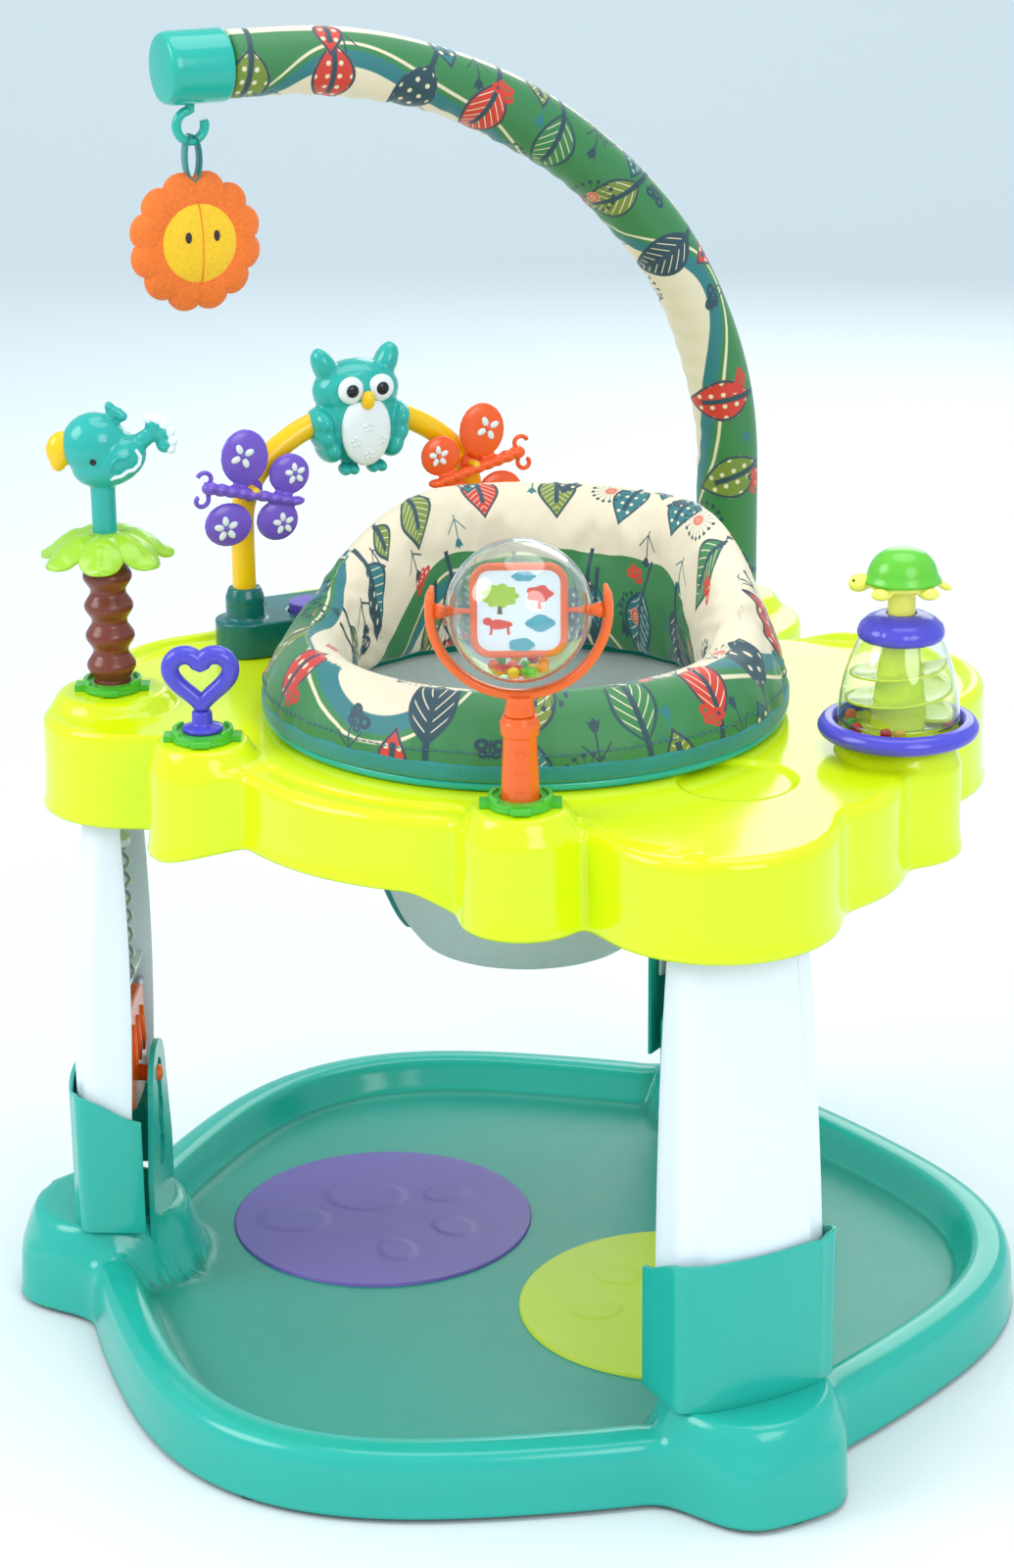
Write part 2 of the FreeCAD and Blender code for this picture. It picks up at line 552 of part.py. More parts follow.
def make_spinner():
    base = size("spin_low")
    hoop = shape("Torus", {"Radius1": "Sizes.spin_ring", "Radius2": "Sizes.spin_tube"},
                 place((0, 0, base + size("spin_tube"))))
    disc = cylinder("Sizes.spin_ring", "5", z=base)
    post = cylinder("4", "40", z=base + 5)
    node("spinner_ring", fuse([hoop, disc, post]), at=SPINNER + (0,))
    dome_tall = "Sizes.dome_high - Sizes.dome_low"
    dome = cut(cone("Sizes.dome_wide - 4", "Sizes.dome_narrow", dome_tall, "Sizes.dome_low"),
               cone("Sizes.dome_wide - 5.6", "Sizes.dome_narrow - 1.6", dome_tall, "Sizes.dome_low"))
    node("spinner_dome", cut(dome, spinner_hoop(base)), at=SPINNER + (0,))
    cap = cut(cylinder("Sizes.dome_narrow + 2", "Sizes.cap_top - Sizes.dome_high", "Sizes.dome_high"),
              cylinder("Sizes.stem_radius + Sizes.press_gap", "60", "500"))
    node("spinner_cap", cap, at=SPINNER + (0,))
    core = cut(cone("14", "9", "40", z=base + 8), cylinder("4.4", "39", z=base + 7))
    fins = [cut(cylinder(str(28 - 4 * k), "3", z=base + 12 + 11 * k), cylinder("4.4", "80", z=base))
            for k in range(3)]
    node("spinner_spiral", fuse([core] + fins), at=SPINNER + (0,))
    balls = []
    for k in range(7):
        x, y = polar(360 / 7 * k, 32.5)
        balls.append(ball("3.6", (x, y, base + 16.4 - 7)))
    node("spinner_balls", group(balls), at=SPINNER + (0,))
    low = size("turtle_low")
    stem = cylinder("Sizes.stem_radius", "Sizes.turtle_low - 516", z=516)
    belly = cone("14", "22", "6", z=low)
    brim = cylinder("22", "3", z=low + 6)
    head = cylinder("6.8", "12", at=(-29, 0), z=low + 1)
    neck = box(12, 8, 3, (-25, 0, low + 6))
    flippers = [cylinder("6", "4", at=(x, y), z=low + 1) for x in (-17, 15) for y in (-17, 17)]
    node("turtle_body", fuse([stem, belly, brim, head, neck] + flippers), at=SPINNER + (0,), heading=33)
    shell = cut(egg(22, 20, 24, (0, 0, low + 6)), box(80, 80, 40, (0, 0, low + 9.2 - 40)))
    node("turtle_shell", shell, at=SPINNER + (0,), heading=33)


def spinner_hoop(base):
    return shape("Torus", {"Radius1": "Sizes.spin_ring", "Radius2": "Sizes.spin_tube"},
                 place((0, 0, base + size("spin_tube"))))


def arch_frame():
    dx, dy = ARCH_RIGHT[0] - ARCH_LEFT[0], ARCH_RIGHT[1] - ARCH_LEFT[1]
    mid = ((ARCH_RIGHT[0] + ARCH_LEFT[0]) / 2, (ARCH_RIGHT[1] + ARCH_LEFT[1]) / 2)
    return mid, math.hypot(dx, dy) / 2, math.degrees(math.atan2(dy, dx))


def make_music():
    mid, half, heading = arch_frame()
    low, top, wide = size("music_low"), size("music_top"), size("music_half")
    wall, reach = size("music_wall"), size("music_reach")

    def block(inset, bottom, high):
        ends = [cylinder(f"Sizes.music_half - {inset}", str(high), z=bottom, at=(x, 0)) for x in (-half, half)]
        return fuse(ends + [box(2 * half, 2 * (wide - inset), high, (0, 0, bottom)),
                            box(2 * half - 50 - 2 * inset, reach - inset, high, (0, (reach - inset) / 2, bottom))])

    casing = cut(block(0, low, top - low), block(wall, low + wall, top - low - 2 * wall))
    well = cylinder("Sizes.button_wide + Sizes.button_play", "20", z=top - 10, at=(-40, 0))
    flanges = [cylinder("14", "12", z=top, at=(x, 0)) for x in (-half, half)]
    bores = [cylinder("Sizes.arch_tube", "40", z=low + wall, at=(x, 0)) for x in (-half, half)]
    node("music_base", cut(cut(fuse([casing] + flanges), well), fuse(bores)), at=mid + (0,), heading=heading)
    button = cylinder("Sizes.button_wide", "11", z=top - 5, at=(-40, 0))
    node("music_button", button, at=mid + (0,), heading=heading)
    board = box(70, 34, 1.6, (20, 0, low + wall + 0.3))
    speaker = cone("12", "17", "10", z=low + wall + 8, at=(52, 0))
    node("music_electronics", group([board, speaker]), at=mid + (0,), heading=heading)


def make_arch():
    mid, half, heading = arch_frame()
    low = size("music_low") + size("music_wall")
    knee, top = size("arch_bend"), size("arch_top")
    tube = size("arch_tube")
    first, last = Vec(-half, 0, low), Vec(-half, 0, knee)
    # two arcs that run on smoothly from the straight foot and meet at 45 degrees
    root = math.sqrt(0.5)
    small = (top - knee - half * (1 - root) / root) / (root - (1 - root) ** 2 / root)
    large = (half - small * (1 - root)) / root
    joint = Vec(-half + small * (1 - root), 0, knee + small * root)
    steep, gentle = math.radians(22.5), math.radians(67.5)
    first_mid = Vec(-half + small * (1 - math.cos(steep)), 0, knee + small * math.sin(steep))
    next_mid = Vec(joint.x + large * (root - math.cos(gentle)), 0, joint.z + large * (math.sin(gentle) - root))
    arcs = Part.makeCompound([Part.Arc(last, first_mid, joint).toShape(), Part.Arc(joint, next_mid, Vec(0, 0, top)).toShape()])
    mirror = arcs.mirror(Vec(0, 0, 0), Vec(1, 0, 0))
    rise = Part.makeLine(first, last)
    fall = rise.mirror(Vec(0, 0, 0), Vec(1, 0, 0))
    path = Part.Wire(Part.__sortEdges__([rise] + arcs.Edges + mirror.Edges + [fall]))
    section = Part.Wire(Part.makeCircle(tube, first, Vec(0, 0, 1)))
    pipe = path.makePipeShell([section], True, False)
    pins = [cylinder("Sizes.pivot_radius", "21", at=(x, -1), axis=(1, 0, 0), turn=90, z=size("butterfly_height"))
            for x in (4 - half, half - 4)]
    node("arch_tube", fuse([feature(pipe)] + pins), at=mid + (0,), heading=heading)


def make_arch_toys():
    mid, half, heading = arch_frame()
    top, tube = size("arch_top"), size("arch_tube")
    owl = [egg(33, 25, 34, (0, 0, top - 2)), egg(34, 24, 24, (0, 0, top + 16))]
    owl += [cone("8", "2", "16", at=(x, 0), z=top + 30) for x in (-24, 24)]
    owl += [egg(8, 10, 7, (x, -5, top - 38)) for x in (-12, 12)]
    hole = cylinder("Sizes.owl_bore", "90", at=(-45, 0), axis=(0, 1, 0), turn=90, z=top)
    flat_front = box(60, 40, 90, (0, -41.5, top - 60))
    node("owl_body", cut(cut(fuse(owl), hole), flat_front), at=mid + (0,), heading=heading)
    face = common(egg(19, 3, 30, (0, -21.6, top - 4)), box(60, 40, 90, (0, -41.6, top - 60)))
    node("owl_belly", face, at=mid + (0,), heading=heading)
    z, pivot = size("butterfly_height"), half - 4
    for side, label in ((-1, "butterfly_left"), (1, "butterfly_right")):
        spots = ((6, 23, 19, 20), (-27, 9, 16, 15), (20, -21, 18, 16), (-17, -22, 16, 15))
        wings = [egg(wide, 4.5, tall, (side * (pivot + x), -15.5, z + up)) for x, up, wide, tall in spots]
        hub = cylinder("9", "9", at=(side * pivot, -11), axis=(1, 0, 0), turn=90, z=z)
        bore = cylinder("Sizes.pivot_radius + 0.35", "60", at=(side * pivot, 10), axis=(1, 0, 0), turn=90, z=z)
        node(label, cut(fuse(wings + [hub]), bore), at=mid + (0,), heading=heading)


# ---- overhead bar -----------------------------------------------------------------------------

def bar_path(low, start, end_run):
    """Upright run, two tangent bends and a level run, in the x-z plane of the bar."""
    first, second = size("bend_one"), size("bend_two")
    root = math.sqrt(0.5)
    knee = Vec(0, 0, start)
    half = math.radians(22.5)
    mid_one = knee + Vec(first * (1 - math.cos(half)), 0, first * math.sin(half))
    joint = knee + Vec(first * (1 - root), 0, first * root)
    high = joint + Vec(second * root, 0, second * (1 - root))
    mid_two = Vec(high.x - second * math.sin(half), 0, high.z - second * (1 - math.cos(half)))
    edges = [Part.makeLine(Vec(0, 0, low), knee), Part.Arc(knee, mid_one, joint).toShape(),
             Part.Arc(joint, mid_two, high).toShape(), Part.makeLine(high, high + Vec(end_run, 0, 0))]
    return Part.Wire(edges), high


def bar_tube(radius, low, end_run):
    path, _ = bar_path(low, size("bar_straight"), end_run)
    section = Part.Wire(Part.makeCircle(radius, Vec(0, 0, low), Vec(0, 0, 1)))
    return path.makePipeShell([section], True, False)


def make_bar():
    heading = size("bar_heading")
    run = size("bar_end")
    _, high = bar_path(0, size("bar_straight"), run)
    where = dict(at=BAR_FOOT + (0,), heading=heading)
    tube = bar_tube(size("bar_radius"), size("bar_low"), run)
    node("bar_tube", feature(tube), **where)
    cover = bar_tube(size("cover_radius"), size("tower_top") + 0.3, run - 2)
    node("bar_cover", feature(cover.cut(bar_tube(size("bar_radius"), size("tower_top") - 20, run + 5))), **where)
    start = high.x + run
    cap = cylinder("Sizes.cap_radius", "Sizes.cap_long", at=(start - 1.5, 0), axis=(0, 1, 0), turn=90, z=high.z)
    hook_x, low = start + 22, high.z - size("cap_radius")
    stem = cylinder("4", "10", at=(hook_x, 0), z=low - 6)
    hoop = shape("Torus", {"Radius1": "10", "Radius2": "3.2"}, place((hook_x, 0, low - 14), (1, 0, 0), 90))
    hook_gap = box(14, 20, 9, (hook_x - 9, 0, low - 12.5))
    bore = cylinder("Sizes.bar_radius", "20", at=(start - 12, 0), axis=(0, 1, 0), turn=90, z=high.z)
    node("bar_cap", cut(cut(fuse([cap, stem, hoop]), hook_gap), bore), **where)
    make_sun(hook_x, low - 14, where)


def make_sun(hook_x, hook_height, where):
    wide, deep, mid = size("strap_wide"), size("strap_deep"), size("sun_height")
    thick, radius = size("sun_thick"), size("sun_radius")
    low = mid + radius - 4
    top = hook_height - 10 + 3.2 + 1.6
    outer = box(wide, deep, top + 1.2 - low, (hook_x, 0, low))
    inner = box(wide + 2, deep - 2.6, top - low - 8, (hook_x, 0, low + 8))
    node("sun_strap", cut(outer, inner), **where)
    disc = cylinder("Sizes.sun_radius - 5", "Sizes.sun_thick * 0.6", at=(hook_x, thick * 0.3), axis=(1, 0, 0),
                    turn=90, z=mid)
    points = []
    for k in range(12):
        x, z = polar(30 * k + 15, radius - 6)
        points.append(cylinder("9", "Sizes.sun_thick * 0.6", at=(hook_x + x, thick * 0.3), axis=(1, 0, 0),
                               turn=90, z=mid + z))
    hole = cylinder("Sizes.sun_face + 0.2", "60", at=(hook_x, 30), axis=(1, 0, 0), turn=90, z=mid)
    slot = box(wide + 0.4, deep + 0.4, 20, (hook_x, 0, low))
    node("sun_rays", cut(cut(fuse([disc] + points), hole), slot), **where)
    node("sun_face", cylinder("Sizes.sun_face", "Sizes.sun_thick", at=(hook_x, thick / 2), axis=(1, 0, 0),
                              turn=90, z=mid), **where)


def check_and_write():
    doc.recompute()
    for item in doc.Objects:
        if {"Invalid", "Error"} & set(item.State):
            raise RuntimeError(f"{item.Label} failed: {item.State}")
    os.makedirs("parts", exist_ok=True)
    for item in nodes:
        solid = item.Shape
        if solid.isNull() or not solid.isValid():
            raise RuntimeError(f"{item.Label} isn't a valid shape")
        solid.exportStep(f"parts/{item.Label}.step")
        print(f"{item.Label:22s} solids {len(solid.Solids)} volume {solid.Volume / 1000:9.1f} cm3")
    print(len(nodes), "nodes")


make_base()
make_base_trim()
make_legs()
make_tray()
make_seat()
make_clips()
make_palm()
make_heart()
make_ball()
make_spinner()
make_music()
make_arch()
make_arch_toys()
make_bar()
check_and_write()
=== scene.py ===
# %% [markdown]
# # Activity jumper
# A child stands in a padded seat that hangs in a lime tray. The tray bounces on three legs, and toys
# stand round its edge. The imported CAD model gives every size, place and joint, so this lesson only adds
# looks: it loads the frame first, and each new piece rides on one of its bodies.

# %% Load the frame
import math

import bmesh
import bpy
import numpy as np
from mathutils import Matrix, Vector


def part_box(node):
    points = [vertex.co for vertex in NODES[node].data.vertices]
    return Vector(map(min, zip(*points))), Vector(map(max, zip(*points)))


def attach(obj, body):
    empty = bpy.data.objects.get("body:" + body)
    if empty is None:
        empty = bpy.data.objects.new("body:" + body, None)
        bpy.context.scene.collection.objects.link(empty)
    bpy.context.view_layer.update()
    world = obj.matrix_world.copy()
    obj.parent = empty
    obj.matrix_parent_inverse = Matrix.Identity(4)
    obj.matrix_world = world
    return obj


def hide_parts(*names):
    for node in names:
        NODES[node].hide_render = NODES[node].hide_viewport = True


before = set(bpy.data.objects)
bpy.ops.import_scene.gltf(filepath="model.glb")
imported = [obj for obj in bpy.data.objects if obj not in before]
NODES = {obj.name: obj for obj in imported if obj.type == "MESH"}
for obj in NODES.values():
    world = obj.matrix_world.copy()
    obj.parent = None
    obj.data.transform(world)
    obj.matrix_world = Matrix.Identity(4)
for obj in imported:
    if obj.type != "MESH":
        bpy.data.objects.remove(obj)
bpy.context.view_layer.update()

# %% [markdown]
# Every place below comes from the CAD boxes. The three legs stand on a ring, and its centre is the seat's
# turning axis, so that one point is the origin of most of the round pieces.

# %% Places read from the frame
MM = 0.001


def middle(node):
    low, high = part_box(node)
    return (low + high) / 2


def circle(steps):
    """Angles once round, in radians."""
    return np.linspace(0, 2 * math.pi, steps, endpoint=False)


def low_z(node):
    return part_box(node)[0].z


def high_z(node):
    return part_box(node)[1].z


def polar(heading, ring, z=0.0):
    turn = math.radians(heading)
    return Vector((ring * math.cos(turn), ring * math.sin(turn), z))


CENTRE = Vector((middle("seat_ring").x, middle("seat_ring").y, 0))
LEGS = {"left": 210, "right": 330, "back": 90}
PALM = middle("palm_trunk")
HEART = middle("heart_loop")
BALL = middle("ball_shell")
SPINNER = middle("spinner_cap")
TOY_HEADING = 33
print("seat axis", tuple(round(v, 3) for v in CENTRE))

# %% [markdown]
# The camera stands where a buyer would, a little above the tray and to the right of the front. The
# backdrop is one pale sheet, so the plastic's colours come from soft boxes and not from a room.

# %% Camera, backdrop and lights
def aim(thing, target, roll=0.0):
    thing.rotation_mode = "QUATERNION"
    look = (Vector(target) - thing.location).to_track_quat("-Z", "Y")
    thing.rotation_quaternion = look @ Matrix.Rotation(roll, 4, "Z").to_quaternion()


def add_camera():
    data = bpy.data.cameras.new("camera")
    data.sensor_width = 36.0
    data.lens = 76.7
    data.clip_end = 30
    camera = bpy.data.objects.new("camera", data)
    bpy.context.scene.collection.objects.link(camera)
    camera.location = (1.1667, -1.8274 + CENTRE.y, 1.139)
    ahead = Vector((-0.5131, 0.7930, -0.3284))
    aim(camera, camera.location + ahead, math.radians(CAMERA_ROLL))
    bpy.context.scene.camera = camera
    return camera


def area_light(name, place, target, size, power, tint=(1, 1, 1)):
    data = bpy.data.lights.new(name, "AREA")
    data.shape = "DISK"
    data.size = size
    data.energy = power
    data.color = tint
    light = bpy.data.objects.new(name, data)
    bpy.context.scene.collection.objects.link(light)
    light.location = place
    aim(light, target)
    return light


CAMERA_ROLL = -0.61
add_camera()
HEART_OF_IT = Vector((0, 0, 0.45))
area_light("key_left", (-2.2, -2.4, 2.6), HEART_OF_IT, 2.2, 62)
area_light("key_right", (2.8, -1.6, 2.2), HEART_OF_IT, 2.0, 38)
area_light("top", (0.2, 0.4, 3.4), HEART_OF_IT, 2.6, 40)
area_light("back", (-1.0, 3.0, 1.8), HEART_OF_IT, 2.0, 22)

world = bpy.data.worlds.new("studio")
bpy.context.scene.world = world
world.use_nodes = True
world.node_tree.nodes["Background"].inputs["Color"].default_value = (0.69, 0.89, 1.0, 1)
world.node_tree.nodes["Background"].inputs["Strength"].default_value = 0.95
bpy.context.scene.view_settings.view_transform = "Standard"


def backdrop():
    """A floor that curves up into a wall behind the object."""
    mesh = bpy.data.meshes.new("backdrop")
    profile = [(-6.0, 0.0), (4.0, 0.0)]
    profile += [(4.0 + 2 * math.sin(a), 2 - 2 * math.cos(a)) for a in np.linspace(0.1, math.pi / 2, 12)]
    profile += [(6.0, 9.0)]
    turn = Matrix.Rotation(math.radians(32.9), 3, "Z")
    verts = [turn @ Vector((x, y, z)) for y, z in profile for x in (-9.0, 9.0)]
    faces = [(2 * k, 2 * k + 1, 2 * k + 3, 2 * k + 2) for k in range(len(profile) - 1)]
    mesh.from_pydata(verts, [], faces)
    for face in mesh.polygons:
        face.use_smooth = True
    sheet = bpy.data.objects.new("backdrop", mesh)
    bpy.context.scene.collection.objects.link(sheet)
    return sheet


backdrop()
print("backdrop, camera and", len(bpy.data.lights), "lights")

# %% [markdown]
# Shader maths is easier to read as formulas than as boxes and wires. This small class wraps one value of a
# node tree, so `a * b + 0.5` adds the Math nodes for us.

# %% Formulas for node trees
class Field:
    """A value in a shader or group tree that can be added, multiplied and compared."""

    def __init__(self, tree, socket):
        self.tree = tree
        self.socket = socket

    def math(self, operation, *others, clamp=False):
        item = self.tree.nodes.new("ShaderNodeMath")
        item.operation = operation
        item.use_clamp = clamp
        for socket, value in zip(item.inputs, (self,) + others):
            if isinstance(value, Field):
                self.tree.links.new(value.socket, socket)
            else:
                socket.default_value = value
        return Field(self.tree, item.outputs[0])

    def __add__(self, other):
        return self.math("ADD", other)

    def __sub__(self, other):
        return self.math("SUBTRACT", other)

    def __mul__(self, other):
        return self.math("MULTIPLY", other)

    def __truediv__(self, other):
        return self.math("DIVIDE", other)

    def above(self, edge, soft):
        """0 below the edge and 1 above it, over a short soft step."""
        return ((self - edge) / soft + 0.5).math("MULTIPLY", 1.0, clamp=True)

    def below(self, edge, soft):
        return ((self - edge) / -soft + 0.5).math("MULTIPLY", 1.0, clamp=True)


def paint(tree, under, mask, over):
    """Lay one colour over another where the mask is 1."""
    mix = tree.nodes.new("ShaderNodeMix")
    mix.data_type = "RGBA"
    tree.links.new(mask.socket, mix.inputs["Factor"])
    for socket, colour in ((mix.inputs["A"], under), (mix.inputs["B"], over)):
        if isinstance(colour, Field):
            tree.links.new(colour.socket, socket)
        else:
            socket.default_value = (*colour, 1)
    return Field(tree, mix.outputs["Result"])


print("node formulas ready")

# %% [markdown]
# Moulded plastic is never perfectly even: it has a faint pebble from the mould, rubbed edges and slightly
# cloudy patches. One shader group gives all three, and each plastic sets its own amounts.

# %% Shared surface groups
def new_group(name, inputs, outputs):
    tree = bpy.data.node_groups.new(name, "ShaderNodeTree")
    for label, kind, value in inputs:
        socket = tree.interface.new_socket(label, in_out="INPUT", socket_type=kind)
        socket.default_value = value
    for label, kind in outputs:
        tree.interface.new_socket(label, in_out="OUTPUT", socket_type=kind)
    start = tree.nodes.new("NodeGroupInput")
    end = tree.nodes.new("NodeGroupOutput")
    return tree, start, end


def noise(tree, vector, scale, detail=2.0, output="Fac"):
    item = tree.nodes.new("ShaderNodeTexNoise")
    item.inputs["Detail"].default_value = detail
    if isinstance(scale, Field):
        tree.links.new(scale.socket, item.inputs["Scale"])
    else:
        item.inputs["Scale"].default_value = scale
    tree.links.new(vector, item.inputs["Vector"])
    return Field(tree, item.outputs[output])


def build_moulded_group():
    tree, start, end = new_group(
        "moulded_surface",
        [("Colour", "NodeSocketColor", (1, 1, 1, 1)), ("Cloud", "NodeSocketFloat", 0.06),
         ("Roughness", "NodeSocketFloat", 0.2), ("Rubbed", "NodeSocketFloat", 0.12),
         ("Pebble size", "NodeSocketFloat", 900.0)],
        [("Colour", "NodeSocketColor"), ("Roughness", "NodeSocketFloat"), ("Height", "NodeSocketFloat")])
    place = tree.nodes.new("ShaderNodeTexCoord").outputs["Object"]
    cloud = noise(tree, place, 9.0, 3.0) - 0.5
    streak = noise(tree, place, 55.0, 4.0) - 0.5
    pebble = noise(tree, place, Field(tree, start.outputs["Pebble size"]), 1.0)
    shade = tree.nodes.new("ShaderNodeHueSaturation")
    value = cloud * Field(tree, start.outputs["Cloud"]) * 2.0 + 1.0
    tree.links.new(value.socket, shade.inputs["Value"])
    tree.links.new(start.outputs["Colour"], shade.inputs["Color"])
    rough = Field(tree, start.outputs["Roughness"]) + streak * Field(tree, start.outputs["Rubbed"]) \
        + cloud * Field(tree, start.outputs["Rubbed"])
    tree.links.new(shade.outputs["Color"], end.inputs["Colour"])
    tree.links.new(rough.socket, end.inputs["Roughness"])
    tree.links.new(pebble.socket, end.inputs["Height"])
    return tree


MOULDED = build_moulded_group()


def new_material(name):
    material = bpy.data.materials.new(name)
    material.use_nodes = True
    tree = material.node_tree
    shader = tree.nodes["Principled BSDF"]
    return material, tree, shader


def plastic(name, colour, roughness=0.18, cloud=0.05, rubbed=0.10, pebble=900.0, bump=0.02, coat=0.0, glow=0.0):
    material, tree, shader = new_material(name)
    group = tree.nodes.new("ShaderNodeGroup")
    group.node_tree = MOULDED
    group.inputs["Colour"].default_value = (*colour, 1)
    group.inputs["Cloud"].default_value = cloud
    group.inputs["Roughness"].default_value = roughness
    group.inputs["Rubbed"].default_value = rubbed
    group.inputs["Pebble size"].default_value = pebble
    tree.links.new(group.outputs["Colour"], shader.inputs["Base Color"])
    tree.links.new(group.outputs["Roughness"], shader.inputs["Roughness"])
    add_bump(tree, shader, group.outputs["Height"], bump, 0.0004)
    shader.inputs["Coat Weight"].default_value = coat
    shader.inputs["Subsurface Weight"].default_value = glow
    shader.inputs["Subsurface Scale"].default_value = 0.004
    return material


def add_bump(tree, shader, height, strength, distance):
    bump = tree.nodes.new("ShaderNodeBump")
    bump.inputs["Strength"].default_value = strength
    bump.inputs["Distance"].default_value = distance
    tree.links.new(height, bump.inputs["Height"])
    tree.links.new(bump.outputs["Normal"], shader.inputs["Normal"])


TEAL = plastic("teal_gloss_plastic", (0.018, 0.415, 0.330), 0.17, bump=0.05)
TEAL_FLOOR = plastic("teal_grained_pan", (0.020, 0.300, 0.235), 0.38, cloud=0.10, bump=0.25, pebble=1400)
DEEP_TEAL = plastic("deep_teal_plastic", (0.006, 0.135, 0.125), 0.22)
BIRD_TEAL = plastic("bird_teal_plastic", (0.022, 0.400, 0.345), 0.16)
LIME = plastic("lime_gloss_plastic", (0.730, 0.860, 0.003), 0.13, cloud=0.03, bump=0.04)
LIME_DISC = plastic("lime_grained_disc", (0.560, 0.680, 0.030), 0.42, bump=0.25, pebble=1400)
PURPLE_DISC = plastic("purple_grained_disc", (0.150, 0.095, 0.400), 0.40, bump=0.25, pebble=1400)
WHITE = plastic("white_satin_plastic", (0.830, 0.840, 0.880), 0.34, cloud=0.02, bump=0.10)
ORANGE = plastic("orange_gloss_plastic", (0.900, 0.130, 0.012), 0.20)
GREEN = plastic("green_clip_plastic", (0.075, 0.480, 0.030), 0.22)
LEAF = plastic("leaf_plastic", (0.360, 0.610, 0.025), 0.22, cloud=0.08)
TRUNK = plastic("trunk_plastic", (0.205, 0.035, 0.016), 0.30, cloud=0.08)
YELLOW = plastic("yellow_plastic", (0.960, 0.540, 0.002), 0.20)
BUTTER = plastic("butter_plastic", (0.870, 0.800, 0.130), 0.24)
VIOLET = plastic("violet_blue_plastic", (0.080, 0.065, 0.540), 0.18)
PURPLE = plastic("purple_plastic", (0.190, 0.090, 0.560), 0.20)
HOT_ORANGE = plastic("butterfly_orange_plastic", (0.950, 0.110, 0.012), 0.22)
SHELL_GREEN = plastic("turtle_green_plastic", (0.130, 0.520, 0.030), 0.20)
BLACK = plastic("black_plastic", (0.006, 0.006, 0.007), 0.16)
RED = plastic("red_plastic", (0.700, 0.020, 0.012), 0.20)
RUBBER = plastic("foot_rubber", (0.020, 0.021, 0.023), 0.70, bump=0.4, pebble=600)
BOARD = plastic("board_green", (0.010, 0.080, 0.030), 0.45)
print("plastics", len([m for m in bpy.data.materials if m.name != "Material"]))

# %% [markdown]
# Springs and pins are drawn steel. Metal takes its look from fine lines along the draw, so the noise is
# stretched a lot in one direction.

# %% Steel and clear plastic
def steel(name):
    material, tree, shader = new_material(name)
    place = tree.nodes.new("ShaderNodeTexCoord").outputs["Object"]
    stretch = tree.nodes.new("ShaderNodeMapping")
    stretch.inputs["Scale"].default_value = (1500, 1500, 40)
    tree.links.new(place, stretch.inputs["Vector"])
    lines = noise(tree, stretch.outputs["Vector"], 1.0, 3.0)
    tree.links.new((lines * 0.2 + 0.22).socket, shader.inputs["Roughness"])
    shade = paint(tree, (0.42, 0.43, 0.45), lines, (0.62, 0.63, 0.65))
    tree.links.new(shade.socket, shader.inputs["Base Color"])
    add_bump(tree, shader, lines.socket, 0.15, 0.0002)
    shader.inputs["Metallic"].default_value = 1.0
    return material


def clear_plastic(name, tint, roughness=0.03):
    """Thin clear shell: transmission and metallic stay plain values."""
    material, tree, shader = new_material(name)
    place = tree.nodes.new("ShaderNodeTexCoord").outputs["Object"]
    haze = noise(tree, place, 40.0, 4.0)
    shader.inputs["Base Color"].default_value = (*tint, 1)
    shader.inputs["Transmission Weight"].default_value = 1.0
    shader.inputs["IOR"].default_value = 1.12
    shader.inputs["Specular IOR Level"].default_value = 0.9
    tree.links.new((haze * 0.05 + roughness).socket, shader.inputs["Roughness"])
    add_bump(tree, shader, haze.socket, 0.03, 0.0003)
    shader.inputs["Coat Weight"].default_value = 1.0
    shader.inputs["Coat Roughness"].default_value = 0.04
    return material


STEEL = steel("drawn_steel")
CLEAR = clear_plastic("clear_plastic", (0.97, 0.99, 1.0))
print("steel and clear plastic made")

# %% [markdown]
# The printed fabric is a woodland pattern: hills with a teal edge, leaf-shaped trees, tulips, red berry
# bursts and butterflies. Each layer is a grid of cells. A hash of the cell's number picks the colour and
# tilt of its motif, so the print never looks tiled. The print reads the piece's own UV map, in which
# one unit is 100 mm of cloth.

# %% Print layers
def hash_of(tree, x, y, seed):
    join = tree.nodes.new("ShaderNodeCombineXYZ")
    tree.links.new(x.socket, join.inputs["X"])
    tree.links.new(y.socket, join.inputs["Y"])
    join.inputs["Z"].default_value = seed
    item = tree.nodes.new("ShaderNodeTexWhiteNoise")
    item.noise_dimensions = "3D"
    tree.links.new(join.outputs["Vector"], item.inputs["Vector"])
    return Field(tree, item.outputs["Value"])


class Cell:
    """Local coordinates inside a jittered, turned grid cell, with a few random numbers."""

    def __init__(self, tree, u, v, wide, tall, seed, tilt, jitter):
        row = (v / tall).math("FLOOR")
        shift = row.math("MODULO", 2.0) * (0.5 * wide)
        column = ((u + shift) / wide).math("FLOOR")
        self.pick = hash_of(tree, column, row, seed)
        self.other = hash_of(tree, column, row, seed + 7.3)
        third = hash_of(tree, column, row, seed + 3.1)
        x = u + shift - (column + 0.5) * wide - (self.other - 0.5) * jitter
        y = v - (row + 0.5) * tall - (third - 0.5) * jitter
        turn = (third - 0.5) * tilt
        cosine, sine = turn.math("COSINE"), turn.math("SINE")
        self.x = x * cosine - y * sine
        self.y = x * sine + y * cosine
        self.side = self.x.math("ABSOLUTE")


def both(a, b):
    return a.math("MINIMUM", b)


def either(a, b):
    return a.math("MAXIMUM", b)


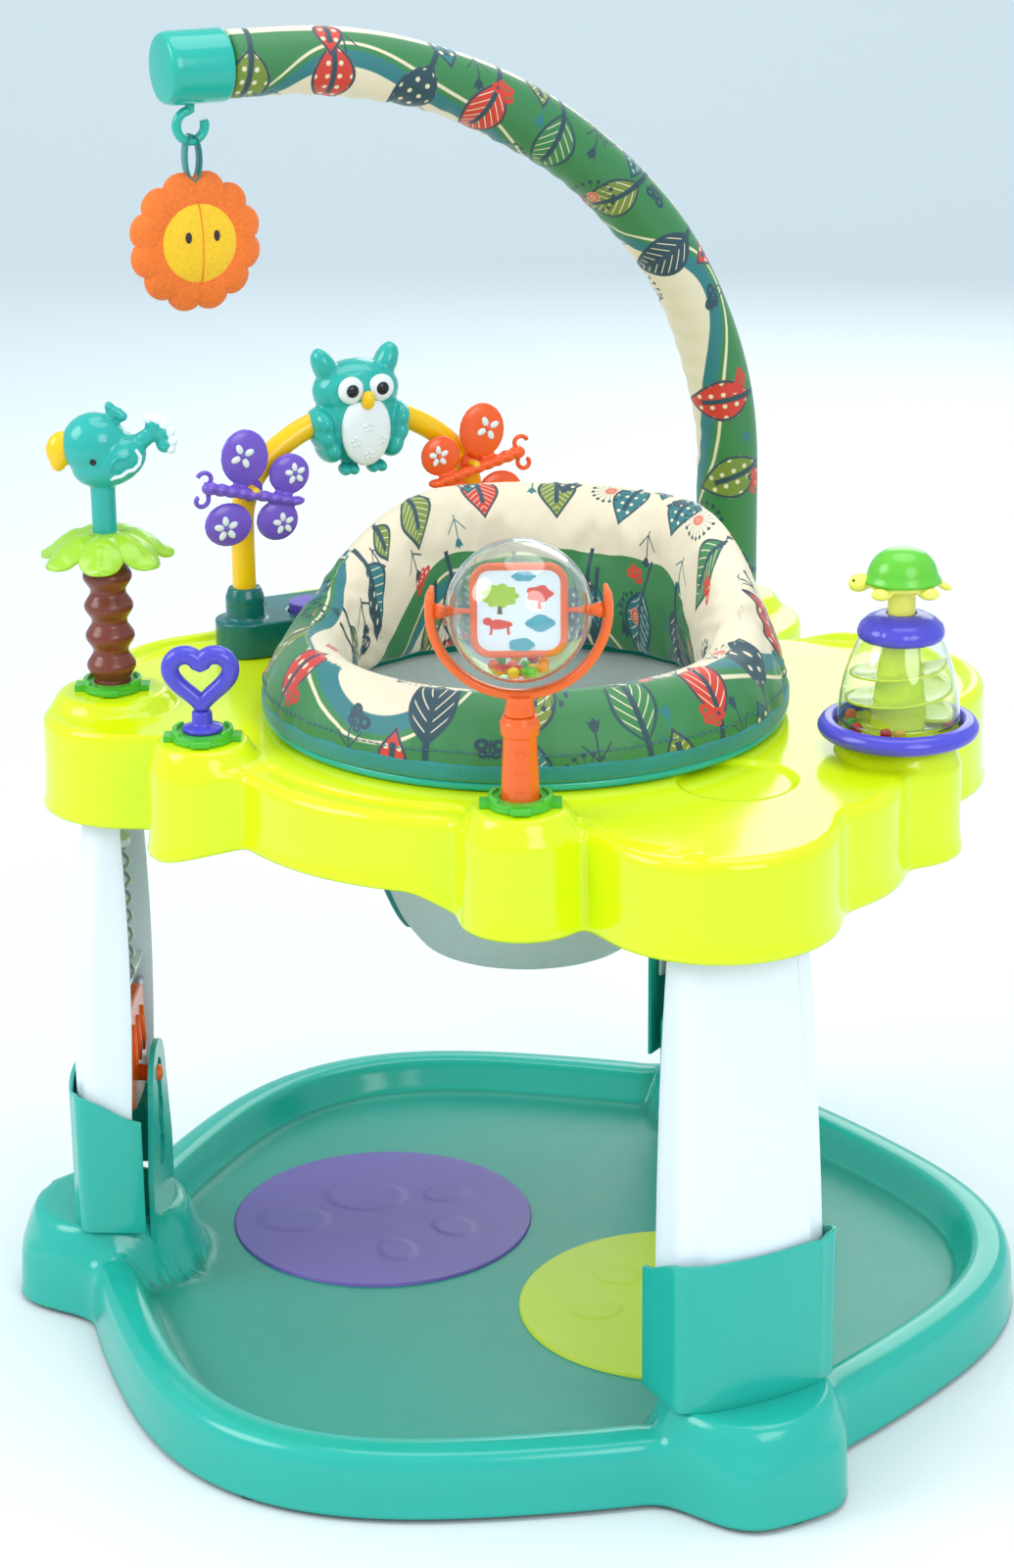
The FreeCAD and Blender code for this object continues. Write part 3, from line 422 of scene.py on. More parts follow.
def palette(tree, pick, colours):
    colour = colours[0]
    for k, entry in enumerate(colours[1:], start=1):
        colour = paint(tree, colour, pick.above(k / len(colours), 0.0001), entry)
    return colour


SLATE = (0.018, 0.055, 0.075)
PRINT_TEAL = (0.020, 0.170, 0.180)
PRINT_GREEN = (0.035, 0.195, 0.055)
PRINT_RED = (0.640, 0.035, 0.018)
SAND = (0.800, 0.660, 0.440)
OLIVE = (0.180, 0.240, 0.030)


def tree_layer(tree, cloth, u, v, wide, tall, seed, high, broad):
    cell = Cell(tree, u, v, wide, tall, seed, 0.7, 0.12 * wide)
    level = cell.y / high + 0.5
    bulge = (level * math.pi).math("SINE") * (level * -0.55 + 1.1) * broad
    crown = both((bulge - cell.side).above(0.0, 0.008), both(level.above(0.01, 0.01), level.below(0.99, 0.01)))
    edge = (bulge - cell.side).below(0.022, 0.008)
    vein_wave = ((cell.y + cell.side * -0.9) * 16.0).math("FRACT") - 0.5
    veins = both(vein_wave.math("ABSOLUTE").below(0.07, 0.05), (bulge - cell.side).above(0.03, 0.01))
    dots_x = (cell.x * 11.0).math("FRACT") - 0.5
    dots_y = (cell.y * 11.0).math("FRACT") - 0.5
    dots = (dots_x * dots_x + dots_y * dots_y).below(0.035, 0.02)
    detail = either(both(veins, cell.other.above(0.45, 0.0001)), both(dots, cell.other.below(0.45, 0.0001)))
    trunk = both(cell.side.below(0.020, 0.008), both(level.above(-0.42, 0.02), level.below(0.72, 0.02)))
    shown = cell.pick.below(0.86, 0.0001)
    colour = palette(tree, cell.pick, (PRINT_TEAL, SLATE, PRINT_GREEN, PRINT_RED, PRINT_TEAL, OLIVE,
                                       PRINT_GREEN))
    cloth = paint(tree, cloth, both(crown, shown), colour)
    cloth = paint(tree, cloth, both(both(crown, detail), shown), SAND)
    cloth = paint(tree, cloth, both(both(crown, edge), shown), SLATE)
    return paint(tree, cloth, both(trunk, shown), SLATE)


def tulip_layer(tree, cloth, u, v, seed):
    cell = Cell(tree, u, v, 0.50, 0.54, seed, 0.3, 0.12)
    stalk = both(cell.side.below(0.006, 0.004), both(cell.y.above(-0.17, 0.004), cell.y.below(0.10, 0.004)))
    leaf_line = (cell.side - (cell.y + 0.13) * 0.8).math("ABSOLUTE")
    leaves = both(leaf_line.below(0.007, 0.004), both(cell.y.above(-0.13, 0.004), cell.y.below(-0.02, 0.004)))
    cup_width = (cell.y - 0.04).math("MAXIMUM", 0.0).math("SQRT") * 0.16
    notch = (cell.x * 60.0).math("SINE").math("ABSOLUTE") * 0.025
    cup = both(cell.side.below(cup_width, 0.004), (cell.y + notch).below(0.13, 0.004))
    motif = both(either(either(stalk, leaves), both(cup, cell.y.above(0.04, 0.004))),
                 cell.pick.below(0.62, 0.0001))
    colour = palette(tree, cell.other, (SLATE, PRINT_TEAL, SLATE))
    return paint(tree, cloth, motif, colour)


def butterfly_layer(tree, cloth, u, v, seed):
    cell = Cell(tree, u, v, 0.74, 0.62, seed, 1.6, 0.22)
    wings = None
    for across, up, broad, high in ((0.050, 0.026, 0.046, 0.036), (0.036, -0.030, 0.032, 0.026)):
        far = ((cell.side - across) / broad).math("POWER", 2.0)
        tall = ((cell.y - up) / high).math("POWER", 2.0)
        wing = (far + tall).below(1.0, 0.15)
        spot = (far + tall).below(0.10, 0.06)
        wing = wing - spot
        wings = wing if wings is None else either(wings, wing)
    body = both(cell.side.below(0.007, 0.003), cell.y.math("ABSOLUTE").below(0.055, 0.004))
    motif = both(either(wings, body), cell.pick.below(0.52, 0.0001))
    return paint(tree, cloth, motif, palette(tree, cell.other, (SLATE, PRINT_RED, SLATE)))


def burst_layer(tree, cloth, u, v, seed):
    cell = Cell(tree, u, v, 0.95, 0.80, seed, 3.0, 0.30)
    ring = (cell.x * cell.x + cell.y * cell.y).math("SQRT")
    around = cell.y.math("ARCTAN2", cell.x) * (16 / (2 * math.pi))
    spoke = around.math("FRACT") - 0.5
    spokes = both(spoke.math("ABSOLUTE").below(0.06, 0.05), both(ring.below(0.145, 0.004),
                                                                 ring.above(0.04, 0.01)))
    off_ring = (ring - 0.150) / 0.016
    tips = (off_ring * off_ring + spoke * spoke * 12.0).below(1.0, 0.3)
    heart = ring.below(0.052, 0.006)
    seeds = ((ring * 90.0).math("SINE") * (around * 6.2832).math("SINE")).above(0.3, 0.2)
    shown = cell.pick.below(0.60, 0.0001)
    cloth = paint(tree, cloth, both(either(spokes, tips), shown), SLATE)
    cloth = paint(tree, cloth, both(heart, shown), PRINT_RED)
    return paint(tree, cloth, both(both(heart, seeds), shown), SAND)


def hill_layer(tree, cloth, u, v, seed, floor, tall):
    """Rounded hills: a wavy band of green with a teal edge and a pale line inside it."""
    wave = (u * 1.9 + seed).math("SINE") * 0.30 + (u * 3.7 + seed * 2.1).math("SINE") * 0.10
    period = ((v - floor) / tall).math("FRACT") * tall
    above = period - (wave + 0.52)
    green = above.below(0.0, 0.008)
    edge = above.math("ABSOLUTE").below(0.055, 0.008)
    line = (above + 0.105).math("ABSOLUTE").below(0.012, 0.008)
    cloth = paint(tree, cloth, green, PRINT_GREEN)
    cloth = paint(tree, cloth, edge, PRINT_TEAL)
    return paint(tree, cloth, line, SAND)


def build_print_group():
    tree, start, end = new_group(
        "woodland_print", [("Ground", "NodeSocketColor", (0.80, 0.66, 0.47, 1))],
        [("Colour", "NodeSocketColor"), ("Height", "NodeSocketFloat"), ("Roughness", "NodeSocketFloat")])
    uv_node = tree.nodes.new("ShaderNodeUVMap")
    uv_node.uv_map = "cloth"
    split = tree.nodes.new("ShaderNodeSeparateXYZ")
    tree.links.new(uv_node.outputs["UV"], split.inputs["Vector"])
    u, v = Field(tree, split.outputs["X"]), Field(tree, split.outputs["Y"])
    cloth = Field(tree, start.outputs["Ground"])
    cloth = hill_layer(tree, cloth, u, v, 0.6, 0.1, 1.9)
    cloth = tulip_layer(tree, cloth, u, v, 4.0)
    cloth = tree_layer(tree, cloth, u, v, 0.62, 0.98, 1.0, 0.56, 0.19)
    cloth = tree_layer(tree, cloth, u + 0.31, v + 0.45, 0.83, 1.15, 2.0, 0.34, 0.12)
    cloth = butterfly_layer(tree, cloth, u + 0.2, v + 0.1, 5.0)
    cloth = burst_layer(tree, cloth, u + 0.4, v + 0.5, 6.0)
    warp = (u * 2600.0).math("SINE") * 0.5
    weft = (v * 2600.0).math("SINE") * 0.5
    fibre = noise(tree, uv_node.outputs["UV"], 90.0, 3.0)
    tree.links.new(cloth.socket, end.inputs["Colour"])
    tree.links.new((warp + weft + fibre).socket, end.inputs["Height"])
    tree.links.new((fibre * 0.16 + 0.42).socket, end.inputs["Roughness"])
    return tree


PRINT = build_print_group()


def printed_fabric(name, ground):
    material, tree, shader = new_material(name)
    group = tree.nodes.new("ShaderNodeGroup")
    group.node_tree = PRINT
    group.inputs["Ground"].default_value = (*ground, 1)
    tree.links.new(group.outputs["Colour"], shader.inputs["Base Color"])
    tree.links.new(group.outputs["Roughness"], shader.inputs["Roughness"])
    add_bump(tree, shader, group.outputs["Height"], 0.10, 0.0003)
    shader.inputs["Sheen Weight"].default_value = 0.25
    shader.inputs["Sheen Roughness"].default_value = 0.4
    return material


PRINTED = printed_fabric("printed_fabric", (0.800, 0.660, 0.475))
print("print group has", len(PRINT.nodes), "nodes")

# %% [markdown]
# The edges are bound with ribbed twill tape, and the sling and the sun are plain woven cloth. Both come
# from one weave group with a scale and a rib amount.

# %% Weave, tape and plush
def build_weave_group():
    tree, start, end = new_group(
        "plain_weave",
        [("Colour", "NodeSocketColor", (1, 1, 1, 1)), ("Thread", "NodeSocketFloat", 1800.0),
         ("Variation", "NodeSocketFloat", 0.2)],
        [("Colour", "NodeSocketColor"), ("Height", "NodeSocketFloat"), ("Roughness", "NodeSocketFloat")])
    place = tree.nodes.new("ShaderNodeTexCoord").outputs["Object"]
    split = tree.nodes.new("ShaderNodeSeparateXYZ")
    tree.links.new(place, split.inputs["Vector"])
    thread = Field(tree, start.outputs["Thread"])
    across = (Field(tree, split.outputs["X"]) + Field(tree, split.outputs["Y"])) * thread
    up = (Field(tree, split.outputs["Z"]) + Field(tree, split.outputs["X"]) * 0.3) * thread
    knit = across.math("SINE") * up.math("SINE")
    fuzz = noise(tree, place, 420.0, 4.0)
    patch = noise(tree, place, 14.0, 2.0)
    shade = tree.nodes.new("ShaderNodeHueSaturation")
    value = (fuzz + patch - 1.0) * Field(tree, start.outputs["Variation"]) * 2.0 + 1.0
    tree.links.new(value.socket, shade.inputs["Value"])
    tree.links.new(start.outputs["Colour"], shade.inputs["Color"])
    tree.links.new(shade.outputs["Color"], end.inputs["Colour"])
    tree.links.new((knit * 0.5 + fuzz).socket, end.inputs["Height"])
    tree.links.new((fuzz * 0.2 + 0.62).socket, end.inputs["Roughness"])
    return tree


WEAVE = build_weave_group()


def cloth(name, colour, thread=1800.0, variation=0.2, bump=0.35, sheen=0.3):
    material, tree, shader = new_material(name)
    group = tree.nodes.new("ShaderNodeGroup")
    group.node_tree = WEAVE
    group.inputs["Colour"].default_value = (*colour, 1)
    group.inputs["Thread"].default_value = thread
    group.inputs["Variation"].default_value = variation
    tree.links.new(group.outputs["Colour"], shader.inputs["Base Color"])
    tree.links.new(group.outputs["Roughness"], shader.inputs["Roughness"])
    add_bump(tree, shader, group.outputs["Height"], bump, 0.0004)
    shader.inputs["Sheen Weight"].default_value = sheen
    shader.inputs["Sheen Roughness"].default_value = 0.5
    return material


TAPE = cloth("teal_binding_tape", (0.012, 0.220, 0.205), 3200.0, 0.25)
SLING = cloth("grey_sling_cloth", (0.500, 0.560, 0.520), 2600.0, 0.12)
PLUSH_ORANGE = cloth("orange_plush", (0.900, 0.170, 0.012), 2400.0, 0.30, bump=0.5, sheen=0.15)
PLUSH_YELLOW = cloth("yellow_plush", (0.960, 0.540, 0.010), 2400.0, 0.22, bump=0.5, sheen=0.15)
THREAD = cloth("blue_thread", (0.030, 0.110, 0.200), 5000.0, 0.2)
BROWN_THREAD = cloth("dark_thread", (0.035, 0.012, 0.008), 5000.0, 0.2)
print("cloths ready")

# %% [markdown]
# Most pieces below are made from a few mesh helpers: a surface of rings, a lathe, a tube along a path and
# a soft union of eggs. Each returns a plain object at the origin with its place in its mesh.

# %% Mesh helpers
def merge(bm, gap):
    """Join points that lie closer than gap."""
    bmesh.ops.remove_doubles(bm, verts=bm.verts, dist=gap)


def face_out(bm):
    """Turn every face to the outside."""
    bmesh.ops.recalc_face_normals(bm, faces=bm.faces)


def finish_mesh(name, bm, materials, body, node=None, smooth=True):
    mesh = bpy.data.meshes.new(name)
    bm.to_mesh(mesh)
    bm.free()
    for material in materials:
        mesh.materials.append(material)
    for face in mesh.polygons:
        face.use_smooth = smooth
    piece = bpy.data.objects.new(name, mesh)
    bpy.context.scene.collection.objects.link(piece)
    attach(piece, body)
    if node:
        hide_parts(node)
    return piece


def bake(piece):
    """Turn a piece with live modifiers into a plain mesh."""
    graph = bpy.context.evaluated_depsgraph_get()
    done = bpy.data.meshes.new_from_object(piece.evaluated_get(graph))
    piece.modifiers.clear()
    piece.data = done
    return piece


def loft(rings, closed=True, cap=False):
    """A skin through rings of points; each ring is a list of vectors of one length."""
    bm = bmesh.new()
    rows = [[bm.verts.new(p) for p in ring] for ring in rings]
    count = len(rows[0])
    for low, high in zip(rows, rows[1:]):
        for k in range(count if closed else count - 1):
            n = (k + 1) % count
            bm.faces.new((low[k], low[n], high[n], high[k]))
    if cap:
        bm.faces.new(rows[0][::-1])
        bm.faces.new(rows[-1])
    return bm


def lathe(profile, centre, steps=64, close=True):
    """Turn (radius, height) points round a vertical axis through centre."""
    rings = []
    for radius, height in profile:
        rings.append([Vector((centre.x + radius * math.cos(a), centre.y + radius * math.sin(a), height))
                      for a in circle(steps)])
    bm = loft(rings)
    merge(bm, 1e-6)
    if close:
        bmesh.ops.holes_fill(bm, edges=bm.edges)
    face_out(bm)
    return bm


def rounded(points, radius, steps=4):
    """Round the inner corners of an (r, z) profile with small arcs."""
    out = [points[0]]
    for before, corner, after in zip(points, points[1:], points[2:]):
        a, b, c = Vector(before), Vector(corner), Vector(after)
        back, ahead = (a - b), (c - b)
        cut = min(radius, back.length * 0.45, ahead.length * 0.45)
        start, end = b + back.normalized() * cut, b + ahead.normalized() * cut
        for s in np.linspace(0, 1, steps + 1):
            p = start * (1 - s) ** 2 + b * 2 * s * (1 - s) + end * s * s
            out.append((p.x, p.y))
    return out + [points[-1]]


def tube(path, radius, steps=20, cap=True, closed=False):
    """A round tube along points, with frames carried from point to point. radius may be a list."""
    points = [Vector(p) for p in path]
    radii = radius if isinstance(radius, (list, tuple)) else [radius] * len(points)
    count = len(points)
    side = None
    rings = []
    for k, p in enumerate(points):
        before = points[(k - 1) % count] if closed or k else p
        after = points[(k + 1) % count] if closed or k < count - 1 else p
        ahead = (after - before).normalized()
        if side is None:
            side = ahead.orthogonal().normalized()
        side = (side - ahead * side.dot(ahead)).normalized()
        up = ahead.cross(side)
        rings.append([p + (side * math.cos(a) + up * math.sin(a)) * radii[k]
                      for a in circle(steps)])
    if closed:
        rings.append(rings[0])
    bm = loft(rings, cap=cap and not closed)
    merge(bm, 1e-7)
    face_out(bm)
    return bm


def egg(bm, place, half, turn=(0, 0, 0), detail=3):
    """Add an ellipsoid; turn is in degrees about x, y and z."""
    spin = Matrix.Rotation(math.radians(turn[2]), 4, "Z") @ Matrix.Rotation(math.radians(turn[1]), 4, "Y") \
        @ Matrix.Rotation(math.radians(turn[0]), 4, "X")
    scale = Matrix.Diagonal((*half, 1))
    bmesh.ops.create_icosphere(bm, subdivisions=detail, radius=1.0,
                               matrix=Matrix.Translation(place) @ spin @ scale)


def melt(name, bm, voxel, soften, materials, body, node=None, place=None):
    """Melt overlapping solids into one moulded form: voxel remesh, smooth, then bake."""
    piece = finish_mesh(name, bm, materials, body, node)
    remesh = piece.modifiers.new("melt", "REMESH")
    remesh.mode = "VOXEL"
    remesh.voxel_size = voxel
    relax = piece.modifiers.new("relax", "SMOOTH")
    relax.factor = 0.5
    relax.iterations = soften
    bake(piece)
    for face in piece.data.polygons:
        face.use_smooth = True
    if place is not None:
        piece.data.transform(place)
    return piece


def toy_place(centre, z=0.0, heading=TOY_HEADING):
    """From a toy's own frame, with x to its right and -y to its front, to its place on the tray."""
    return Matrix.Translation((centre.x, centre.y, z)) @ Matrix.Rotation(math.radians(heading), 4, "Z")


def soften_edges(piece, width, segments=3, angle=40):
    bevel = piece.modifiers.new("edges", "BEVEL")
    bevel.width = width
    bevel.segments = segments
    bevel.limit_method = "ANGLE"
    bevel.angle_limit = math.radians(angle)
    bevel.harden_normals = False
    return piece


def blend_step(x, low, high):
    s = np.clip((x - low) / (high - low), 0, 1)
    return s * s * (3 - 2 * s)


def smooth_max(a, b, soft):
    return 0.5 * (a + b + np.sqrt((a - b) ** 2 + soft * soft))


def smooth_min(a, b, soft):
    return 0.5 * (a + b - np.sqrt((a - b) ** 2 + soft * soft))


print("helpers ready")

# %% [markdown]
# The base is one blow-moulded ring with a shallow pan. Its outline is a rounded triangle with a bulb at
# each leg, so one formula in polar coordinates gives it. A height rule then lifts the rim and the three
# domes that carry the legs, and the whole skin is a loft of rings from the outer wall to the middle.

# %% Base tray
FLOOR = low_z("floor_disc_purple")
RIM = FLOOR + 26 * MM
DOME = low_z("lower_leg_left") + 0.0
BASE_LOW = low_z("base_tray")


def base_outline(angle):
    third = np.radians(np.degrees(angle) - 90)
    ring = 324.8 - 15.1 * np.cos(3 * third) + 6.15 * np.cos(6 * third)
    off = (np.degrees(angle) - 90 + 60) % 120 - 60
    return (ring + 53 * np.exp(-(np.abs(off) / 9.8) ** 4.2)) * MM


def dome_height(x, y):
    top = np.full_like(x, 0.0)
    for heading in LEGS.values():
        at = polar(heading, 0.303)
        far = np.hypot(x - at.x, y - at.y)
        top = np.maximum(top, (DOME + 0.0006) - blend_step(far, 0.050, 0.078) * (DOME - FLOOR + 0.012))
    return top


def base_point(angle, inset, profile_z):
    ring = base_outline(angle) - inset
    x, y = ring * np.cos(angle), ring * np.sin(angle)
    z = np.full_like(x, profile_z)
    if inset > 0.001:
        z = smooth_max(z, dome_height(x, y), 0.004)
        z = np.minimum(z, DOME + 0.0004)
    return [Vector((CENTRE.x + a, CENTRE.y + b, c)) for a, b, c in zip(x, y, z)]


def make_base():
    angle = circle(480)
    wall = [(-0.0005, BASE_LOW), (0.0, BASE_LOW + 0.002), (0.0008, BASE_LOW + 0.018), (0.0020, RIM - 0.013)]
    shoulder = [(0.0030 + 0.0105 * (1 - math.cos(a)), RIM - 0.0115 + 0.0105 * math.sin(a))
                for a in np.linspace(0.15, math.pi / 2, 7)]
    crest = [(0.018, RIM), (0.023, RIM - 0.0002), (0.027, RIM - 0.0012)]
    slope = [(0.027 + 0.017 * s, RIM - 0.0012 - (RIM - FLOOR - 0.0012) * (s * s * (3 - 2 * s)))
             for s in np.linspace(0.12, 1.0, 9)]
    rings = [base_point(angle, inset, z) for inset, z in wall + shoulder + crest + slope]
    for inset in np.linspace(0.050, 0.150, 26):
        rings.append(base_point(angle, inset, FLOOR))
    for share in (0.8, 0.5, 0.2):
        rings.append([CENTRE.lerp(p, share) * 1.0 for p in rings[-1]])
        for p in rings[-1]:
            p.z = FLOOR
    bm = loft(rings)
    bm.faces.new([v for v in bm.verts][-len(angle):])
    face_out(bm)
    for face in bm.faces:
        spot = face.calc_center_median()
        away = (spot - CENTRE)
        away.z = 0
        turn = math.atan2(away.y, away.x)
        inset = float(base_outline(np.array([turn]))[0]) - away.length
        domed = float(dome_height(np.array([away.x]), np.array([away.y]))[0]) > FLOOR + 0.004
        face.material_index = 1 if inset > 0.040 and not domed else 0
    piece = finish_mesh("base_tray_shell", bm, [TEAL, TEAL_FLOOR], "base", "base_tray")
    wall_mod = piece.modifiers.new("wall", "SOLIDIFY")
    wall_mod.thickness = 0.0025
    wall_mod.offset = -1
    return piece


BASE = make_base()
print("base", tuple(round(v * 1000) for v in BASE.dimensions))

# %% [markdown]
# Two big discs are set in the pan. They carry faint raised ovals so that small feet grip, and a lathe
# gives their rolled edge. The ovals are a height rule on a grid of rings.

# %% Floor discs, pads and the flip-out foot
def make_disc(node, material, ovals):
    low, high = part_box(node)
    centre = (low + high) / 2
    radius = (high.x - low.x) / 2
    rings = []
    profile = [(radius, FLOOR - 0.002), (radius, high.z - 0.0010), (radius - 0.0010, high.z)]
    profile += [(radius * s, high.z) for s in np.linspace(0.985, 0.02, 50)]
    for ring, z in profile:
        row = []
        for a in circle(160):
            x, y = ring * math.cos(a), ring * math.sin(a)
            lift = 0.0
            for ox, oy, long, wide, turn in ovals:
                c, s = math.cos(math.radians(turn)), math.sin(math.radians(turn))
                p, q = (x - ox) * c + (y - oy) * s, -(x - ox) * s + (y - oy) * c
                far = math.hypot(p / long, q / wide)
                lift = max(lift, 0.0006 * float(1 - blend_step(np.array(far), 0.90, 1.10)))
            row.append(Vector((centre.x + x, centre.y + y, z + (lift if z == high.z else 0))))
        rings.append(row)
    bm = loft(rings)
    bm.faces.new([v for v in bm.verts][-160:])
    face_out(bm)
    return finish_mesh(node + "_plate", bm, [material], "base", node)


PAW = [(-0.030, 0.020, 0.030, 0.024, 20), (0.020, 0.055, 0.017, 0.013, 40), (0.055, 0.012, 0.017, 0.013, -10),
       (0.040, -0.040, 0.017, 0.013, -40), (-0.052, -0.040, 0.026, 0.018, 30)]
make_disc("floor_disc_purple", PURPLE_DISC, PAW)
make_disc("floor_disc_lime", LIME_DISC, [(-x, y, a, b, -t) for x, y, a, b, t in PAW])
for name in ("foot_pads",):
    NODES[name].data.materials[0] = RUBBER
NODES["flip_foot_pin"].data.materials[0] = STEEL


def make_flip_foot():
    """A white tab in its slot: the slot is a dark recess ring let into the pan, the tab turns on a pin."""
    low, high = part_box("flip_foot")
    bm = bmesh.new()
    bmesh.ops.create_cube(bm, size=1.0)
    bmesh.ops.scale(bm, vec=high - low, verts=bm.verts)
    bmesh.ops.translate(bm, vec=(low + high) / 2, verts=bm.verts)
    tab = finish_mesh("flip_foot_tab", bm, [WHITE], "flip_foot", "flip_foot")
    soften_edges(tab, 0.0012)
    rim = bmesh.new()
    corners = [(low.x - 0.003, low.y - 0.003), (high.x + 0.003, low.y - 0.003),
               (high.x + 0.001, high.y + 0.003),
               (low.x - 0.001, high.y + 0.003)]
    inner = [rim.verts.new((x, y, FLOOR + 0.0004)) for x, y in corners]
    outer = [rim.verts.new((low.x + (x - low.x) * 1.10 - 0.001, y + (0.003 if y > low.y else -0.003),
                            FLOOR + 0.0002)) for x, y in corners]
    well = [rim.verts.new((x, y, FLOOR - 0.012)) for x, y in corners]
    for k in range(4):
        n = (k + 1) % 4
        rim.faces.new((outer[k], outer[n], inner[n], inner[k]))
        rim.faces.new((inner[k], inner[n], well[n], well[k]))
    return finish_mesh("flip_foot_slot", rim, [TEAL_FLOOR], "base", smooth=False)


make_flip_foot()
print("floor parts done")

# %% [markdown]
# Each leg is three mouldings: a teal sleeve on the base, a white shell that slides in it, and an orange
# lever inside. Sleeve and shell are open towards the middle, so their section is a U. A loft of U shapes
# up the leg, thickened and softened, gives both.

# %% Legs
def u_section(inner, outer, half, bow, z, corner=0.010):
    """Points of a U from one inner edge round the bowed outer face to the other."""
    points = [(inner, -half)]
    points += [(inner + (outer - corner - inner) * s, -half) for s in (0.33, 0.66, 1.0)]
    for a in np.linspace(-math.pi / 2, -0.10, 7)[1:]:
        points.append((outer - corner + corner * math.cos(a), -half + corner + corner * math.sin(a)))
    side = half - corner
    face = [(outer + bow * (1 - (v / half) ** 2), v) for v in np.linspace(-side, side, 15)[1:-1]]
    points += face
    mirrored = [(x, -v) for x, v in points[:11][::-1]]
    return [(x, v, z) for x, v in points + mirrored]


def on_leg(points, heading):
    turn = Matrix.Rotation(math.radians(heading), 3, "Z")
    return [turn @ Vector(p) + CENTRE for p in points]


def make_sleeve(side, heading):
    low, high = low_z(f"lower_leg_{side}"), high_z(f"lower_leg_{side}")
    rings = []
    for share in np.linspace(0, 1, 15):
        section = u_section(0.2685, 0.3165, 0.0595, 0.0085, 0.0)
        row = []
        for x, v, _ in section:
            inward = 0.018 * (1 - float(blend_step(np.array(x), 0.268, 0.312))) * share ** 3
            row.append((x, v, low + 0.0005 + (high - low - 0.0005) * share - inward))
        rings.append(on_leg(row, heading))
    bm = loft(rings, closed=False)
    face_out(bm)
    orient_outward(bm, heading)
    piece = finish_mesh(f"lower_leg_{side}_sleeve", bm, [TEAL], "base", f"lower_leg_{side}")
    wall = piece.modifiers.new("wall", "SOLIDIFY")
    wall.thickness = 0.0028
    wall.offset = -1
    return soften_edges(piece, 0.0008, 2, 60)


def orient_outward(bm, heading):
    away = polar(heading, 1.0)
    best = max(bm.faces, key=lambda f: (f.calc_center_median() - CENTRE).dot(away))
    if best.normal.dot(away) < 0:
        bmesh.ops.reverse_faces(bm, faces=bm.faces)


def make_shell(side, heading):
    low, high = low_z(f"upper_leg_{side}"), high_z(f"upper_leg_{side}")
    rings = []
    for share in np.linspace(0, 1, 30):
        z = low + (high - low) * share
        half = 0.0550 * (1 - share) + 0.0460 * share - 0.0004
        bulge = 0.0035 * math.sin(math.pi * min(1.0, share * 1.2))
        outer = 0.2958 + 0.0158 * (1 - share ** 1.8)
        inner = 0.2765 - 0.004 * math.sin(math.pi * share)
        if z > high - 0.030:
            half -= 0.0016
            outer -= 0.0016
        rings.append(on_leg(u_section(inner, outer, half, 0.0075 + bulge, z, 0.012), heading))
    bm = loft(rings, closed=False)
    orient_outward(bm, heading)
    piece = finish_mesh(f"upper_leg_{side}_shell", bm, [WHITE], "legs", f"upper_leg_{side}")
    wall = piece.modifiers.new("wall", "SOLIDIFY")
    wall.thickness = 0.0026
    wall.offset = -1
    soften_edges(piece, 0.0007, 2, 60)
    z = 0.2382
    half = 0.0460
    corners = [(0.279, -half, z), (0.300, -half, z), (0.309, -half * 0.5, z), (0.311, 0, z),
               (0.309, half * 0.5, z),
               (0.300, half, z), (0.279, half, z)]
    rows = [on_leg([(x, v, z + lift) for x, v, _ in corners], heading) for lift in (-0.0018, 0.0018)]
    shelf = loft(rows, cap=True)
    bmesh.ops.recalc_face_normals(shelf, faces=shelf.faces)
    plate = finish_mesh(f"upper_leg_{side}_shelf", shelf, [WHITE], "legs", smooth=False)
    soften_edges(plate, 0.0006, 2)
    return piece


def make_lever(side, heading):
    """The orange lever: a dished plate with raised ribs, a rounded top and its locking button."""
    node = f"height_lever_{side}"
    low, high = low_z(node), high_z(node)
    rings = []
    for depth, grow in ((0.2772, -0.0012), (0.2784, 0.0), (0.2838, 0.0), (0.2850, -0.0012)):
        row = []
        for a in circle(64):
            c, s = math.cos(a), math.sin(a)
            power = 0.35
            v = (0.033 + grow) * abs(c) ** power * (1 if c > 0 else -1)
            z = ((high - low) / 2 + grow) * abs(s) ** power * (1 if s > 0 else -1)
            row.append((depth, v, (low + high) / 2 + z))
        rings.append(on_leg(row, heading))
    bm = loft(rings, cap=True)
    face_out(bm)
    piece = finish_mesh(f"{node}_plate", bm, [ORANGE], f"lever_{side}", node, smooth=False)
    for v in (-0.018, 0.0, 0.018):
        rib = tube(on_leg([(0.2766, v, low + 0.030), (0.2762, v, (low + high) / 2), (0.2766, v, high - 0.016)],
                          heading), [0.0012, 0.0018, 0.0012], 10)
        finish_mesh(f"{node}_rib_{round(v * 1000) + 20}", rib, [ORANGE], f"lever_{side}")
    button = on_leg([(0.2775, 0, 0.166), (0.2640, 0, 0.166), (0.2618, 0, 0.166), (0.2610, 0, 0.166)], heading)
    finish_mesh(f"{node}_button", tube(button, [0.006, 0.006, 0.0052, 0.003], 32), [ORANGE], f"lever_{side}")
    return piece


for side, heading in LEGS.items():
    make_sleeve(side, heading)
    make_shell(side, heading)
    make_lever(side, heading)
    NODES[f"height_plate_{side}"].data.materials[0] = TEAL
NODES["lever_pins"].data.materials[0] = STEEL
NODES["leg_springs"].data.materials[0] = STEEL
NODES["leg_plungers"].data.materials[0] = WHITE
print("legs done")

